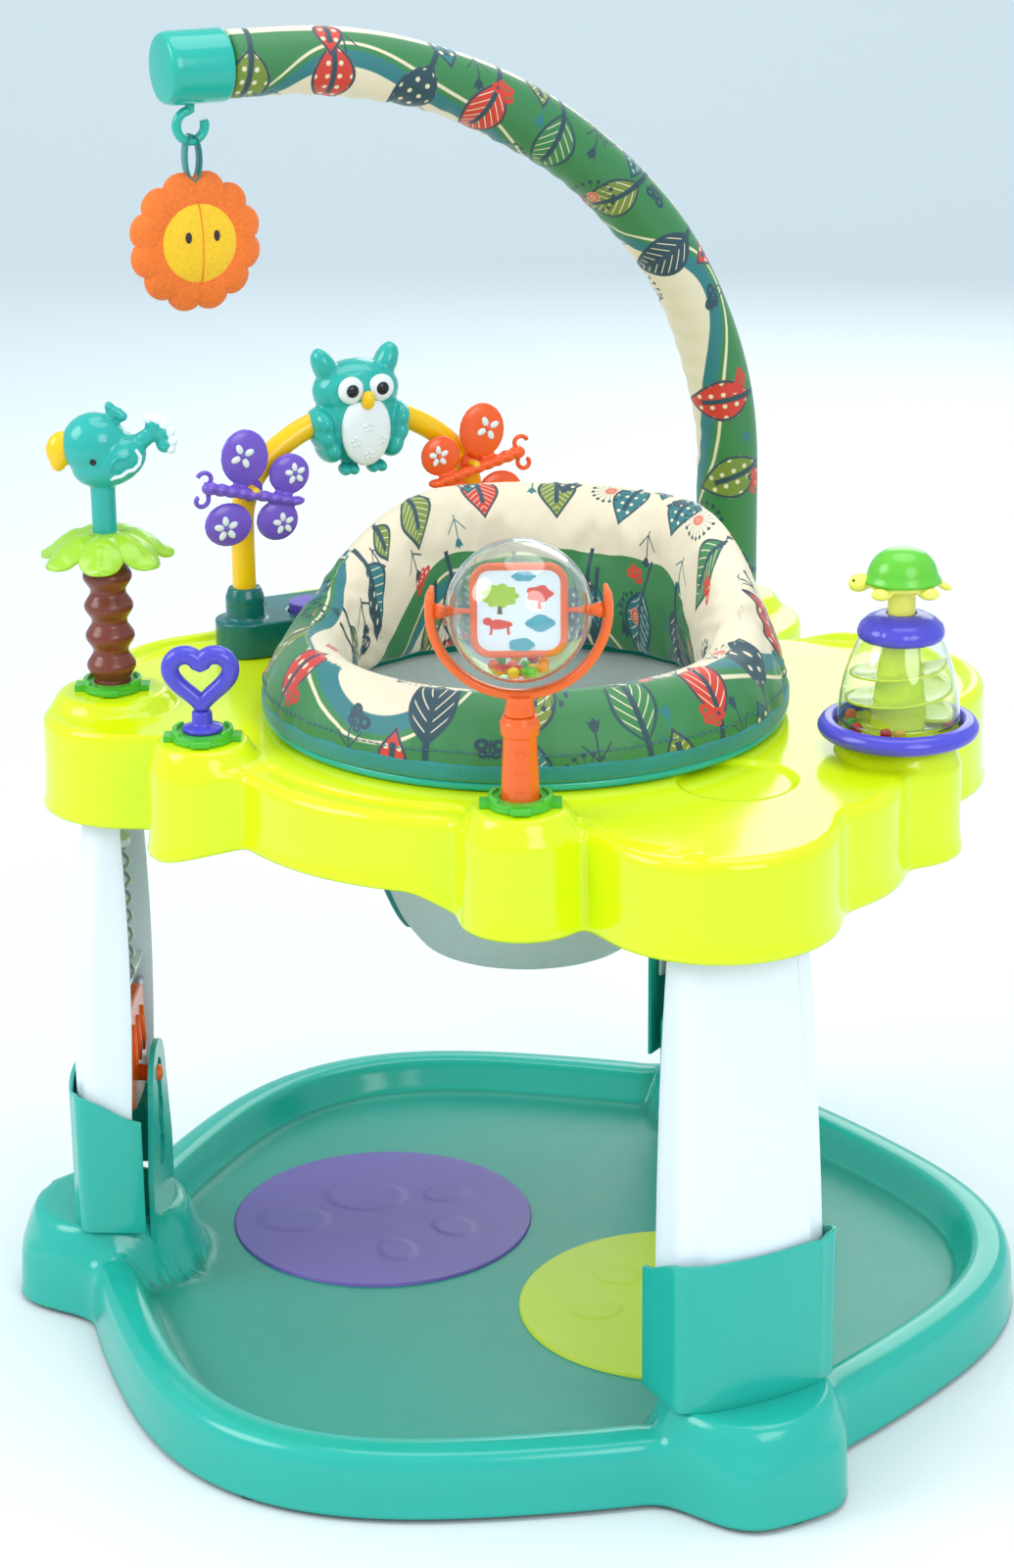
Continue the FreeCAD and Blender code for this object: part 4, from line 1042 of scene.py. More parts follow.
# %% [markdown]
# The tray is one glossy shell. Its outline is a soft union of round lobes: three over the legs, two wide
# ones at the back and small towers for the toys. A signed distance to that outline is easy to write, and
# a ray search along each heading turns it into a smooth edge.

# %% Tray outline
SKIRT = low_z("activity_tray")
DECK = high_z("activity_tray") - 0.010
SEAT_HOLE = 0.1578
LOBES = ((210, 0.268, 0.0622), (330, 0.256, 0.0742), (90, 0.265, 0.0622), (155, 0.225, 0.1062),
         (190, 0.235, 0.0822), (47, 0.222, 0.1042), (351, 0.208, 0.0862), (268, 0.060, 0.1642))


def tower_spots():
    spots = []
    for centre, radius in ((HEART, 0.0372), (BALL, 0.0372), (SPINNER, 0.0425)):
        spots.append((centre.x - CENTRE.x, centre.y - CENTRE.y, radius))
    return spots


def tray_distance(x, y):
    """Distance outside the tray's outline, negative inside, with soft joints between the lobes."""
    far = np.hypot(x, y) - 0.206
    for heading, ring, radius in LOBES:
        at = polar(heading, ring)
        if heading in LEGS.values():
            turn = math.radians(heading)
            along = x * math.cos(turn) + y * math.sin(turn)
            across = -x * math.sin(turn) + y * math.cos(turn)
            lobe = np.hypot(along - np.clip(along, 0.10, ring), across) - radius
        else:
            lobe = np.hypot(x - at.x, y - at.y) - radius
        far = smooth_min(far, lobe, 0.012)
    for tx, ty, radius in tower_spots():
        far = smooth_min(far, np.hypot(x - tx, y - ty) - radius, 0.010)
    return far


def tray_outline(angle):
    """Radius of the outline along each heading, by bisection on the distance."""
    low, high = np.full_like(angle, 0.18), np.full_like(angle, 0.37)
    for _ in range(40):
        mid = (low + high) / 2
        inside = tray_distance(mid * np.cos(angle), mid * np.sin(angle)) < 0
        low, high = np.where(inside, mid, low), np.where(inside, high, mid)
    return (low + high) / 2


print("tray outline from", len(LOBES), "lobes")

# %% [markdown]
# On top, the tray has a snack dish, a round dish at the back, stepped ledges at the front and a raised
# disc under each toy. Each is one term in a height rule, with soft shoulders.

# %% Tray surface
DISH = (0.195, -0.056)
BAR_FOOT = Vector((-0.007, 0.292 + CENTRE.y, 0))
REAR_DISH = (0.188, 0.182)


def tray_height(x, y, edge):
    """Height of the top skin over the deck. edge is the distance in from the outline."""
    z = np.zeros_like(x)
    heading = np.degrees(np.arctan2(y, x)) % 360
    z -= 0.0195 * (1 - blend_step(np.hypot(x - DISH[0], y - DISH[1]), 0.026, 0.040))
    z -= 0.0195 * (1 - blend_step(np.hypot(x - REAR_DISH[0], y - REAR_DISH[1]), 0.027, 0.040))
    front = blend_step(heading, 238, 246) * (1 - blend_step(heading, 294, 300))
    side = blend_step(heading, 306, 312) * (1 - blend_step(heading, 318, 323))
    ledge = np.maximum(front, side)
    z -= ledge * 0.006 * (1 - blend_step(edge, 0.011, 0.014))
    z -= ledge * 0.006 * (1 - blend_step(edge, 0.021, 0.024))
    for tx, ty, radius in tower_spots():
        far = np.hypot(x - tx, y - ty)
        z = np.maximum(z, 0.0098 - 0.0140 * blend_step(far, radius - 0.009, radius + 0.002))
    for spot, flat in ((PALM, 0.034), (BAR_FOOT, 0.033)):
        far = np.hypot(x - spot.x + CENTRE.x, y - spot.y + CENTRE.y)
        z = np.maximum(z, 0.0098 - 0.0125 * blend_step(far, flat, flat + 0.014))
    rim = blend_step(heading, 18, 24) * (1 - blend_step(heading, 66, 72))
    rim = np.maximum(rim, blend_step(heading, 120, 128) * (1 - blend_step(heading, 196, 200)))
    z = np.maximum(z, rim * (0.0060 * (1 - blend_step(edge, 0.010, 0.017))) + z * (1 - rim))
    return z


def tray_ring(angle, outline, inset, drop, top=True):
    ring = outline - inset
    x, y = ring * np.cos(angle), ring * np.sin(angle)
    if top:
        z = DECK + tray_height(x, y, np.full_like(x, inset)) - drop
    else:
        heading = np.degrees(angle) % 360
        front = blend_step(heading, 238, 250) * (1 - blend_step(heading, 282, 294))
        z = drop + front * 0.014 * np.clip((DECK - drop) / (DECK - SKIRT), 0, 1)
    return [Vector((CENTRE.x + a, CENTRE.y + b, c)) for a, b, c in zip(x, y, z)]


def make_tray():
    angle = circle(600)
    outline = tray_outline(angle)
    lip = [(-0.0012, SKIRT), (-0.0016, SKIRT + 0.002), (-0.0008, SKIRT + 0.005)]
    wall = [(0.0003, SKIRT + 0.012), (0.0009, SKIRT + 0.026)]
    rings = [tray_ring(angle, outline, inset, z, top=False) for inset, z in lip + wall]
    for a in np.linspace(0, math.pi / 2, 9):
        inset = 0.0012 + 0.0085 * (1 - math.cos(a))
        rings.append(tray_ring(angle, outline, inset, 0.0085 * (1 - math.sin(a))))
    inner = SEAT_HOLE
    steps = 74
    for k in range(1, steps + 1):
        share = k / steps
        ring = (outline - 0.0097) * (1 - share) + inner * share
        x, y = ring * np.cos(angle), ring * np.sin(angle)
        z = DECK + tray_height(x, y, outline - ring)
        rings.append([Vector((CENTRE.x + a, CENTRE.y + b, c)) for a, b, c in zip(x, y, z)])
    collar = low_z("seat_retainer") + 0.007
    for z in (DECK - 0.006, collar):
        rings.append([Vector((CENTRE.x + inner * math.cos(a), CENTRE.y + inner * math.sin(a), z))
                      for a in angle])
    bm = loft(rings)
    face_out(bm)
    top = max(bm.faces, key=lambda f: f.calc_center_median().z)
    if top.normal.z < 0:
        bmesh.ops.reverse_faces(bm, faces=bm.faces)
    piece = finish_mesh("activity_tray_shell", bm, [LIME], "tray", "activity_tray")
    wall_mod = piece.modifiers.new("wall", "SOLIDIFY")
    wall_mod.thickness = 0.0026
    wall_mod.offset = -1
    return piece


TRAY = make_tray()
print("tray", tuple(round(v * 1000) for v in TRAY.dimensions), "faces", len(TRAY.data.polygons))


def make_leg_bosses():
    """Round posts under the tray that hold the plungers."""
    for side, heading in LEGS.items():
        at = CENTRE + polar(heading, 0.290)
        bm = lathe([(0.012, DECK - 0.004), (0.014, DECK - 0.008), (0.0155, DECK - 0.0128),
                    (0.0065, DECK - 0.0130)],
                   at, 40)
        finish_mesh(f"tray_boss_{side}", bm, [LIME], "tray")


make_leg_bosses()

# %% [markdown]
# The seat turns on a teal ring that rides in the tray's hole, and a second ring clips on from below. Both
# are turned shapes, so a lathe with rounded corners makes them.

# %% Seat rings
SEAT_LOW, SEAT_HIGH = low_z("seat_ring"), high_z("seat_ring")


def make_seat_rings():
    low, high = SEAT_LOW, SEAT_HIGH
    flange = low_z("seat_roll") - 0.0066
    profile = [(0.1505, low), (0.1565, low), (0.1565, flange), (0.1750, flange), (0.1768, flange + 0.002),
               (0.1768, high - 0.002), (0.1750, high), (0.1505, high), (0.1505, low)]
    bm = lathe(rounded(profile, 0.001), CENTRE, 160)
    finish_mesh("seat_ring_moulding", bm, [TEAL], "seat", "seat_ring")
    low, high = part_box("seat_retainer")
    profile = [(0.1505, low.z), (0.1627, low.z), (0.1627, high.z), (0.1505, high.z), (0.1505, low.z)]
    bm = lathe(rounded(profile, 0.001), CENTRE, 160)
    finish_mesh("seat_retainer_moulding", bm, [TEAL], "seat", "seat_retainer")


make_seat_rings()
print("seat rings at", round(SEAT_LOW, 4), round(SEAT_HIGH, 4))

# %% [markdown]
# The padded seat is one quilted ring with a high back. It starts as a loft whose section changes with the
# heading: low and round at the front, tall and leaning in at the back. A short cloth run with air pressure
# then swells it between its seams, and small pleats are pressed in where it is sewn to the binding.

# %% Padded seat
BACK_HEADING = 108
PAD_LOW = SEAT_HIGH + 0.0002
FRONT_TOP = high_z("seat_roll")
BACK_TOP = high_z("seat_back")


def back_share(heading):
    off = abs((heading - BACK_HEADING + 180) % 360 - 180)
    return float(1 - blend_step(np.array(off), 38.0, 100.0)) ** 0.9


def pad_section(heading, steps, shrink=0.0):
    """One section of the pad, as (radius, height) points in order round the section."""
    tall = back_share(heading)
    top = FRONT_TOP + (BACK_TOP - FRONT_TOP) * tall - 0.004 - shrink
    outer_low, outer_mid, outer_top = 0.1735, 0.1735 + 0.003 * (1 - tall), 0.161 - 0.006 * tall
    inner_top, inner_low = 0.130 - 0.004 * tall, 0.119
    knots = [(outer_low, PAD_LOW + 0.001), (outer_mid + 0.002, PAD_LOW + 0.3 * (top - PAD_LOW)),
             (outer_top + 0.006, PAD_LOW + 0.72 * (top - PAD_LOW)), (outer_top - 0.004, top - 0.004),
             ((outer_top + inner_top) / 2, top), (inner_top, top - 0.006),
             (inner_low + 0.004, PAD_LOW + 0.66 * (top - PAD_LOW)),
             (inner_low, PAD_LOW + 0.25 * (top - PAD_LOW)),
             (inner_low + 0.008, PAD_LOW + 0.001)]
    points = []
    for k in range(steps):
        place = k / steps * len(knots)
        n = int(place)
        s = place - n
        a, b, c, d = (knots[(n + j) % len(knots)] for j in (-1, 0, 1, 2))
        weights = ((-s + 2 * s * s - s ** 3) / 2, (2 - 5 * s * s + 3 * s ** 3) / 2,
                   (s + 4 * s * s - 3 * s ** 3) / 2, (s ** 3 - s * s) / 2)
        radius = sum(w * p[0] for w, p in zip(weights, (a, b, c, d)))
        height = sum(w * p[1] for w, p in zip(weights, (a, b, c, d)))
        points.append((radius, max(height, PAD_LOW)))
    return points


def swell(piece, voxel, pressure, cap, frames=20, quality=5):
    """Remesh, blow up as cloth with pressure, cap how far points move, and apply."""
    remesh = piece.modifiers.new("remesh", "REMESH")
    remesh.mode = "VOXEL"
    remesh.voxel_size = voxel
    bake(piece)
    rest = np.array([v.co for v in piece.data.vertices])
    sim = piece.modifiers.new("cloth", "CLOTH")
    settings = sim.settings
    settings.quality = quality
    settings.use_pressure = True
    settings.uniform_pressure_force = pressure
    settings.effector_weights.gravity = 0
    settings.tension_stiffness = 18
    settings.shear_stiffness = 12
    settings.bending_stiffness = 0.35
    group = piece.vertex_groups.new(name="sewn")
    low = rest[:, 2].min()
    group.add([i for i, p in enumerate(rest) if p[2] < low + 0.004], 1.0, "REPLACE")
    settings.vertex_group_mass = "sewn"
    sim.collision_settings.use_self_collision = False
    scene = bpy.context.scene
    for step in range(1, frames + 1):
        scene.frame_set(step)
    graph = bpy.context.evaluated_depsgraph_get()
    blown = piece.evaluated_get(graph)
    moved = np.array([v.co for v in blown.data.vertices])
    piece.modifiers.clear()
    scene.frame_set(1)
    travel = moved - rest
    length = np.linalg.norm(travel, axis=1, keepdims=True)
    travel *= np.minimum(1.0, cap / np.maximum(length, 1e-9))
    piece.data.vertices.foreach_set("co", (rest + travel).ravel())
    piece.data.update()
    return piece


def press_pleats(points):
    """Short gathers that run up from the binding and in from the corners of the back."""
    x, y = points[:, 0] - CENTRE.x, points[:, 1] - CENTRE.y
    heading = np.degrees(np.arctan2(y, x)) % 360
    ring = np.hypot(x, y)
    lift = np.clip((points[:, 2] - PAD_LOW) / 0.06, 0, 1)
    wave = np.sin(np.radians(heading * 26) + 1.7 * np.sin(np.radians(heading * 3.0)))
    fine = np.sin(np.radians(heading * 61) + 2.2 * np.sin(np.radians(heading * 7.0)))
    near = (1 - blend_step(lift, 0.05, 0.75))
    depth = (0.0016 * wave + 0.0009 * fine) * near
    for corner in (BACK_HEADING + 82, BACK_HEADING - 82):
        off = np.abs((heading - corner + 180) % 360 - 180)
        local = np.exp(-(off / 13.0) ** 2)
        depth -= 0.0030 * local * (0.5 + 0.5 * np.sin(points[:, 2] * 420 + off * 0.5))
        depth -= 0.0040 * np.exp(-(off / 2.2) ** 2)
    outward = np.where(ring > 0.146, 1.0, -1.0)
    scale = 1 + outward * depth / np.maximum(ring, 0.01)
    moved = points.copy()
    moved[:, 0] = CENTRE.x + x * scale
    moved[:, 1] = CENTRE.y + y * scale
    return moved


def keep_inside(points, outer, low, high):
    x, y = points[:, 0] - CENTRE.x, points[:, 1] - CENTRE.y
    ring = np.hypot(x, y)
    scale = np.minimum(1.0, outer / np.maximum(ring, 1e-6))
    points[:, 0], points[:, 1] = CENTRE.x + x * scale, CENTRE.y + y * scale
    points[:, 2] = np.clip(points[:, 2], low, high)
    return points


def lay_print(piece, place_uv):
    """Give a mesh its cloth UV map from a rule on position; corners of a face stay on one side of the wrap."""
    mesh = piece.data
    layer = mesh.uv_layers.get("cloth") or mesh.uv_layers.new(name="cloth")
    points = np.array([v.co for v in mesh.vertices])
    uv, wrap = place_uv(points)
    for face in mesh.polygons:
        first = uv[face.vertices[0]][0]
        for corner, vertex in zip(face.loop_indices, face.vertices):
            u, v = uv[vertex]
            if u - first > wrap / 2:
                u -= wrap
            elif first - u > wrap / 2:
                u += wrap
            layer.data[corner].uv = (u, v)


def pad_uv(points):
    """Round the seat for u; up the outside, over the top and down the inside for v."""
    x, y = points[:, 0] - CENTRE.x, points[:, 1] - CENTRE.y
    heading = np.arctan2(y, x)
    ring = np.hypot(x, y)
    share = np.array([back_share(math.degrees(h)) for h in heading])
    core_r = 0.147 - 0.003 * share
    core_z = PAD_LOW + (0.028 + 0.030 * share)
    turn = np.arctan2(points[:, 2] - core_z, (ring - core_r))
    over = np.where(turn < -math.pi / 2, turn + 2 * math.pi, turn)
    outside = (points[:, 2] - PAD_LOW) * 10
    v = np.where(ring > core_r, outside, outside * -1 + 2 * (0.60 + 0.63 * share) + (core_r - ring) * 10)
    wrap = round(2 * math.pi * 1.6 / 0.62) * 0.62
    u = (heading / (2 * math.pi) + 0.5) * wrap
    return np.stack([u, v + over * 0], axis=1), wrap


def make_pad():
    rings = []
    for heading in np.linspace(0, 360, 180, endpoint=False):
        rings.append([CENTRE + polar(heading, r, z) for r, z in pad_section(heading, 48, shrink=0.003)])
    rings.append(rings[0])
    bm = loft(rings)
    merge(bm, 1e-6)
    face_out(bm)
    pad = finish_mesh("seat_pad", bm, [PRINTED], "seat")
    swell(pad, 0.0048, 3.0, 0.007)
    points = np.array([v.co for v in pad.data.vertices])
    points = press_pleats(points)
    points = keep_inside(points, 0.1785, PAD_LOW, BACK_TOP + 0.004)
    pad.data.vertices.foreach_set("co", points.ravel())
    relax = pad.modifiers.new("relax", "SMOOTH")
    relax.iterations = 2
    smooth = pad.modifiers.new("round", "SUBSURF")
    smooth.levels = smooth.render_levels = 1
    bake(pad)
    for face in pad.data.polygons:
        face.use_smooth = True
    lay_print(pad, pad_uv)
    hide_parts("seat_roll", "seat_back")
    return pad


PAD = make_pad()
print("seat pad faces", len(PAD.data.polygons), "top", round(max(v.co.z for v in PAD.data.vertices), 4))

# %% [markdown]
# The pad is sewn to the ring with a ribbed teal tape, and a line of blue topstitching runs just above it.
# The tape follows the ring, so it is turned. The stitches repeat along a path, so Geometry Nodes place them.

# %% Binding tape
def make_tape():
    low = PAD_LOW - 0.0005
    profile = [(0.1745, low), (0.1772, low), (0.1790, low + 0.0020), (0.1792, low + 0.0110),
               (0.1772, low + 0.0125), (0.1752, low + 0.0110), (0.1745, low)]
    bm = lathe(rounded(profile, 0.0008, 2), CENTRE, 200)
    tape = finish_mesh("seat_binding", bm, [TAPE], "seat")
    return tape


make_tape()


def stitch_tree(name):
    """Capsules of thread set end to end along a curve."""
    tree = bpy.data.node_groups.new(name, "GeometryNodeTree")
    sockets = {}
    for label, kind, value in (("Curve", "NodeSocketGeometry", None), ("Spacing", "NodeSocketFloat", 0.005),
                               ("Length", "NodeSocketFloat", 0.0034), ("Thread", "NodeSocketFloat", 0.00045),
                               ("Finish", "NodeSocketMaterial", None)):
        socket = tree.interface.new_socket(label, in_out="INPUT", socket_type=kind)
        if value is not None:
            socket.default_value = value
        sockets[label] = socket.identifier
    tree.interface.new_socket("Stitches", in_out="OUTPUT", socket_type="NodeSocketGeometry")
    nodes, links = tree.nodes, tree.links
    start, end = nodes.new("NodeGroupInput"), nodes.new("NodeGroupOutput")
    curve = nodes.new("GeometryNodeMeshToCurve")
    spots = nodes.new("GeometryNodeCurveToPoints")
    spots.mode = "LENGTH"
    thread = nodes.new("GeometryNodeMeshCylinder")
    thread.fill_type = "TRIANGLE_FAN"
    thread.inputs["Vertices"].default_value = 6
    place = nodes.new("GeometryNodeInstanceOnPoints")
    real = nodes.new("GeometryNodeRealizeInstances")
    finish = nodes.new("GeometryNodeSetMaterial")
    links.new(start.outputs["Curve"], curve.inputs["Mesh"])
    links.new(curve.outputs["Curve"], spots.inputs["Curve"])
    links.new(start.outputs["Spacing"], spots.inputs["Length"])
    links.new(start.outputs["Thread"], thread.inputs["Radius"])
    links.new(start.outputs["Length"], thread.inputs["Depth"])
    turn = nodes.new("FunctionNodeAlignRotationToVector")
    turn.axis = "Z"
    links.new(spots.outputs["Tangent"], turn.inputs["Vector"])
    links.new(spots.outputs["Points"], place.inputs["Points"])
    links.new(thread.outputs["Mesh"], place.inputs["Instance"])
    links.new(turn.outputs["Rotation"], place.inputs["Rotation"])
    links.new(place.outputs["Instances"], real.inputs["Geometry"])
    links.new(real.outputs["Geometry"], finish.inputs["Geometry"])
    links.new(start.outputs["Finish"], finish.inputs["Material"])
    links.new(finish.outputs["Geometry"], end.inputs["Stitches"])
    return tree, sockets


STITCHES, STITCH_INPUTS = stitch_tree("stitches_on_path")


def sew(name, path, body, thread=THREAD, spacing=0.0052, length=0.0036, width=0.00045, closed=False):
    """Run the stitch tree along a path and keep its result as a plain mesh."""
    mesh = bpy.data.meshes.new(name)
    edges = [(k, k + 1) for k in range(len(path) - 1)] + ([(len(path) - 1, 0)] if closed else [])
    mesh.from_pydata([tuple(p) for p in path], edges, [])
    piece = bpy.data.objects.new(name, mesh)
    bpy.context.scene.collection.objects.link(piece)
    run = piece.modifiers.new("stitches", "NODES")
    run.node_group = STITCHES
    for label, value in (("Spacing", spacing), ("Length", length), ("Thread", width), ("Finish", thread)):
        run[STITCH_INPUTS[label]] = value
    bake(piece)
    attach(piece, body)
    return piece


def pad_reach(heading, z, start=0.24):
    """Where a ray from outside, level and towards the seat's axis, meets the pad."""
    side = polar(heading, 1.0)
    origin = Vector((CENTRE.x, CENTRE.y, z)) + side * start
    hit, place, normal, _ = PAD.ray_cast(origin, -side)
    return place + normal * 0.0005 if hit else origin


seam = [pad_reach(h, PAD_LOW + 0.0185 + 0.0006 * math.sin(math.radians(h * 9))) for h in np.linspace(0, 360,
    240, endpoint=False)]
sew("seat_topstitch", seam, "seat", closed=True)
print("stitches sewn")

# %% [markdown]
# Under the pad hangs a sling of light grey cloth with two round leg holes. It is one sheet: a turned bag
# with the holes cut where the legs go, a flatter strap between them, and teal tape round each hole.

# %% Sling
SLING_TOP = 0.1466
LEG_HEADINGS = (20, 200)


def sling_ring(height):
    """Radius of the bag at a height: wide at the ring, quickly drawn in to the crotch strap."""
    low, high = low_z("seat_sling"), high_z("seat_sling")
    share = (height - low) / (high - low)
    return 0.058 + (SLING_TOP - 0.058) * share ** 0.62


def make_sling():
    low, high = low_z("seat_sling") + 0.0006, high_z("seat_sling")
    headings = np.linspace(0, 360, 180, endpoint=False)
    rings = []
    for s in np.linspace(0.02, 1, 14):
        rings.append([CENTRE + polar(h, 0.058 * s, low + 0.006 * s ** 2) for h in headings])
    for height in np.linspace(low + 0.012, high - 0.0006, 48):
        gather = 1.0 + 0.008 * math.sin((height - low) * 60)
        rings.append([CENTRE + polar(h, sling_ring(height) * gather
                                     + 0.0011 * math.sin(math.radians(h * 17)) * (height - low) / (high - low),
                                     height)
                      for h in headings])
    bm = loft(rings)
    bmesh.ops.contextual_create(bm, geom=[v for v in bm.verts if (v.co.xy - CENTRE.xy).length < 0.0013])
    gone = []
    middle_z = low_z("seat_sling") + 0.075
    for face in bm.faces:
        p = face.calc_center_median() - CENTRE
        for heading in LEG_HEADINGS:
            out = polar(heading, 1.0)
            along = p.x * out.x + p.y * out.y
            across = -p.x * out.y + p.y * out.x
            if along > 0 and (across / 0.062) ** 2 + ((p.z - middle_z) / 0.060) ** 2 < 1:
                gone.append(face)
    bmesh.ops.delete(bm, geom=gone, context="FACES")
    face_out(bm)
    edges = [e for e in bm.edges if e.is_boundary]
    loops = trace_loops(edges)
    area = sum(f.calc_area() for f in bm.faces)
    sling = finish_mesh("seat_sling_cloth", bm, [SLING], "seat", "seat_sling")
    wall = sling.modifiers.new("cloth", "SOLIDIFY")
    wall.thickness = 0.0012
    wall.offset = -1
    for k, loop in enumerate(loops):
        if max(p.z for p in loop) > high - 0.004:
            continue
        for _ in range(6):
            loop = [(loop[j - 1] + loop[j] + loop[(j + 1) % len(loop)]) / 3 for j in range(len(loop))]
        binding = finish_mesh(f"sling_binding_{k}", tube(loop, 0.0030, 10, closed=True), [TAPE], "seat")
    return sling


def trace_loops(edges):
    """Closed loops of points along the boundary edges."""
    left = set(edges)
    loops = []
    while left:
        edge = left.pop()
        first, at = edge.verts
        loop = [first.co.copy()]
        while at is not first:
            loop.append(at.co.copy())
            following = [e for e in at.link_edges if e in left]
            if not following:
                break
            edge = following[0]
            left.discard(edge)
            at = edge.other_vert(at)
        loops.append(loop)
    return loops


make_sling()
print("sling hung")

# %% [markdown]
# Green clips hold the front toys. Each is a split ring with two raised jaws and a thumb tab, close enough
# to a turned shape to start from a lathe.

# %% Clips
def arc_block(centre, inner, outer, low, high, start, stop, steps=24):
    """A block bent round a vertical axis, between two headings."""
    rings = []
    for heading in np.linspace(start, stop, steps):
        rings.append([centre + polar(heading, r, z) for r, z in
                      ((inner, low), (outer, low), (outer, high), (inner, high))])
    bm = loft(rings, cap=True)
    face_out(bm)
    return bm


def make_clip(name, at):
    centre = Vector((at.x, at.y, 0))
    base = low_z("toy_clips")
    ring = lathe(rounded([(0.0128, base), (0.0205, base), (0.0205, base + 0.0028), (0.0128, base + 0.0028),
                          (0.0128, base)], 0.0008, 3), centre, 72)
    finish_mesh(f"{name}_clip", ring, [GREEN], "tray")
    for k, turn in enumerate((TOY_HEADING, TOY_HEADING + 180)):
        jaw = arc_block(centre, 0.0172, 0.0200, base + 0.0020, base + 0.0085, turn - 42, turn + 42)
        soften_edges(finish_mesh(f"{name}_jaw_{k}", jaw, [GREEN], "tray"), 0.0008, 2)
    tab = arc_block(centre, 0.0150, 0.0235, base + 0.0005, base + 0.0050, TOY_HEADING - 107, TOY_HEADING - 73,
                    10)
    soften_edges(finish_mesh(f"{name}_tab", tab, [GREEN], "tray"), 0.0010, 3)
    NODES["toy_clips"].data.materials[0] = GREEN


for label, at in (("palm", PALM), ("heart", HEART), ("ball", BALL)):
    make_clip(label, at)
print("clips on")

# %% [markdown]
# The palm's trunk is a brown bellows of four soft bulges. Its seven leaves droop from the crown, ribbed
# down the middle with slanting veins pressed in.

# %% Palm
def make_trunk():
    low, high = low_z("palm_trunk"), high_z("palm_trunk")
    step = (high - low - 0.004) / 4
    profile = [(0.0105, low - 0.002), (0.0128, low), (0.0128, low + 0.004)]
    for k in range(4):
        z = low + 0.004 + k * step
        profile += [(0.0122, z + 0.08 * step), (0.0180, z + 0.50 * step), (0.0122, z + 0.92 * step)]
    profile += [(0.0125, high), (0.0100, high + 0.010)]
    bm = lathe(rounded(profile, 0.0042, 5), Vector((PALM.x, PALM.y, 0)), 72)
    finish_mesh("palm_trunk_bellows", bm, [TRUNK], "palm", "palm_trunk")


def make_leaf(turn, reach, name):
    rows = []
    place = toy_place(PALM, low_z("palm_leaves"))
    spin = Matrix.Rotation(math.radians(turn), 4, "Z")
    for s in np.linspace(0, 1, 30):
        width = 0.0172 * math.sin(math.pi * min(1.0, 0.16 + 0.84 * s)) ** 0.62 if s < 1 else 0.0
        width *= 0.72 + 0.55 * s
        row = []
        for t in np.linspace(-1, 1, 17):
            height = 0.0185 + 0.0045 * math.sin(math.pi * min(s * 1.25, 1)) - 0.0150 * s ** 2.2
            height -= 0.0075 * abs(t) ** 1.7 * (0.35 + 0.65 * math.sin(math.pi * s) ** 0.6)
            vein = math.sin((s * 1.0 - abs(t) * 0.22) * 2 * math.pi * 4.2)
            height -= 0.0007 * max(0.0, vein - 0.62) / 0.38 * (1 - abs(t)) * (0.1 < s < 0.92)
            height -= 0.0009 * math.exp(-(t / 0.07) ** 2) * (s < 0.95)
            x = 0.004 + (reach - 0.004) * s
            row.append(place @ spin @ Vector((x, width * t, height)))
        rows.append(row)
    bm = loft(rows, closed=False)
    merge(bm, 1e-6)
    face_out(bm)
    if sum(f.normal.z for f in bm.faces) < 0:
        bmesh.ops.reverse_faces(bm, faces=bm.faces)
    leaf = finish_mesh(name, bm, [LEAF], "palm")
    wall = leaf.modifiers.new("wall", "SOLIDIFY")
    wall.thickness = 0.0030
    wall.offset = -1
    wall.use_even_offset = True
    round_off = leaf.modifiers.new("round", "SUBSURF")
    round_off.levels = round_off.render_levels = 1
    return leaf


def make_palm():
    make_trunk()
    for k in range(7):
        leaf = make_leaf(-90 + k * 360 / 7, 0.047, f"palm_leaf_{k}")
    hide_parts("palm_leaves")
    crown = low_z("palm_leaves")
    hub = lathe(rounded([(0.0, crown - 0.002), (0.0125, crown - 0.002), (0.0150, crown + 0.008),
                         (0.0110, crown + 0.0195), (0.0, crown + 0.0215)], 0.003), Vector((PALM.x, PALM.y, 0)),
                         48)
    finish_mesh("palm_crown", hub, [LEAF], "palm")


make_palm()
print("palm with 7 leaves")

# %% [markdown]
# The bird is moulded in one: round head and body, a curl on its head and a raised tail. Overlapping eggs
# are melted together with a voxel remesh, then small parts are set on its skin.

# %% Bird
BIRD_Z = low_z("bird_body") + 0.036
BIRD_FORMS = [((-0.004, 0, 0.031), (0.0225, 0.0190, 0.0225), 0), ((0.005, 0, 0.021), (0.0265, 0.0185, 0.0185),
                                                                  -18)]


def bird_skin(x, z, side):
    """Distance of the bird's skin from its middle plane at a point seen from the side."""
    deepest = 0.0
    for (cx, _, cz), (hx, hy, hz), turn in BIRD_FORMS:
        a = math.radians(-turn)
        dx, dz = x - cx, z - cz
        u, w = dx * math.cos(a) + dz * math.sin(a), -dx * math.sin(a) + dz * math.cos(a)
        share = 1 - (u / hx) ** 2 - (w / hz) ** 2
        if share > 0:
            deepest = max(deepest, hy * math.sqrt(share))
    return side * deepest


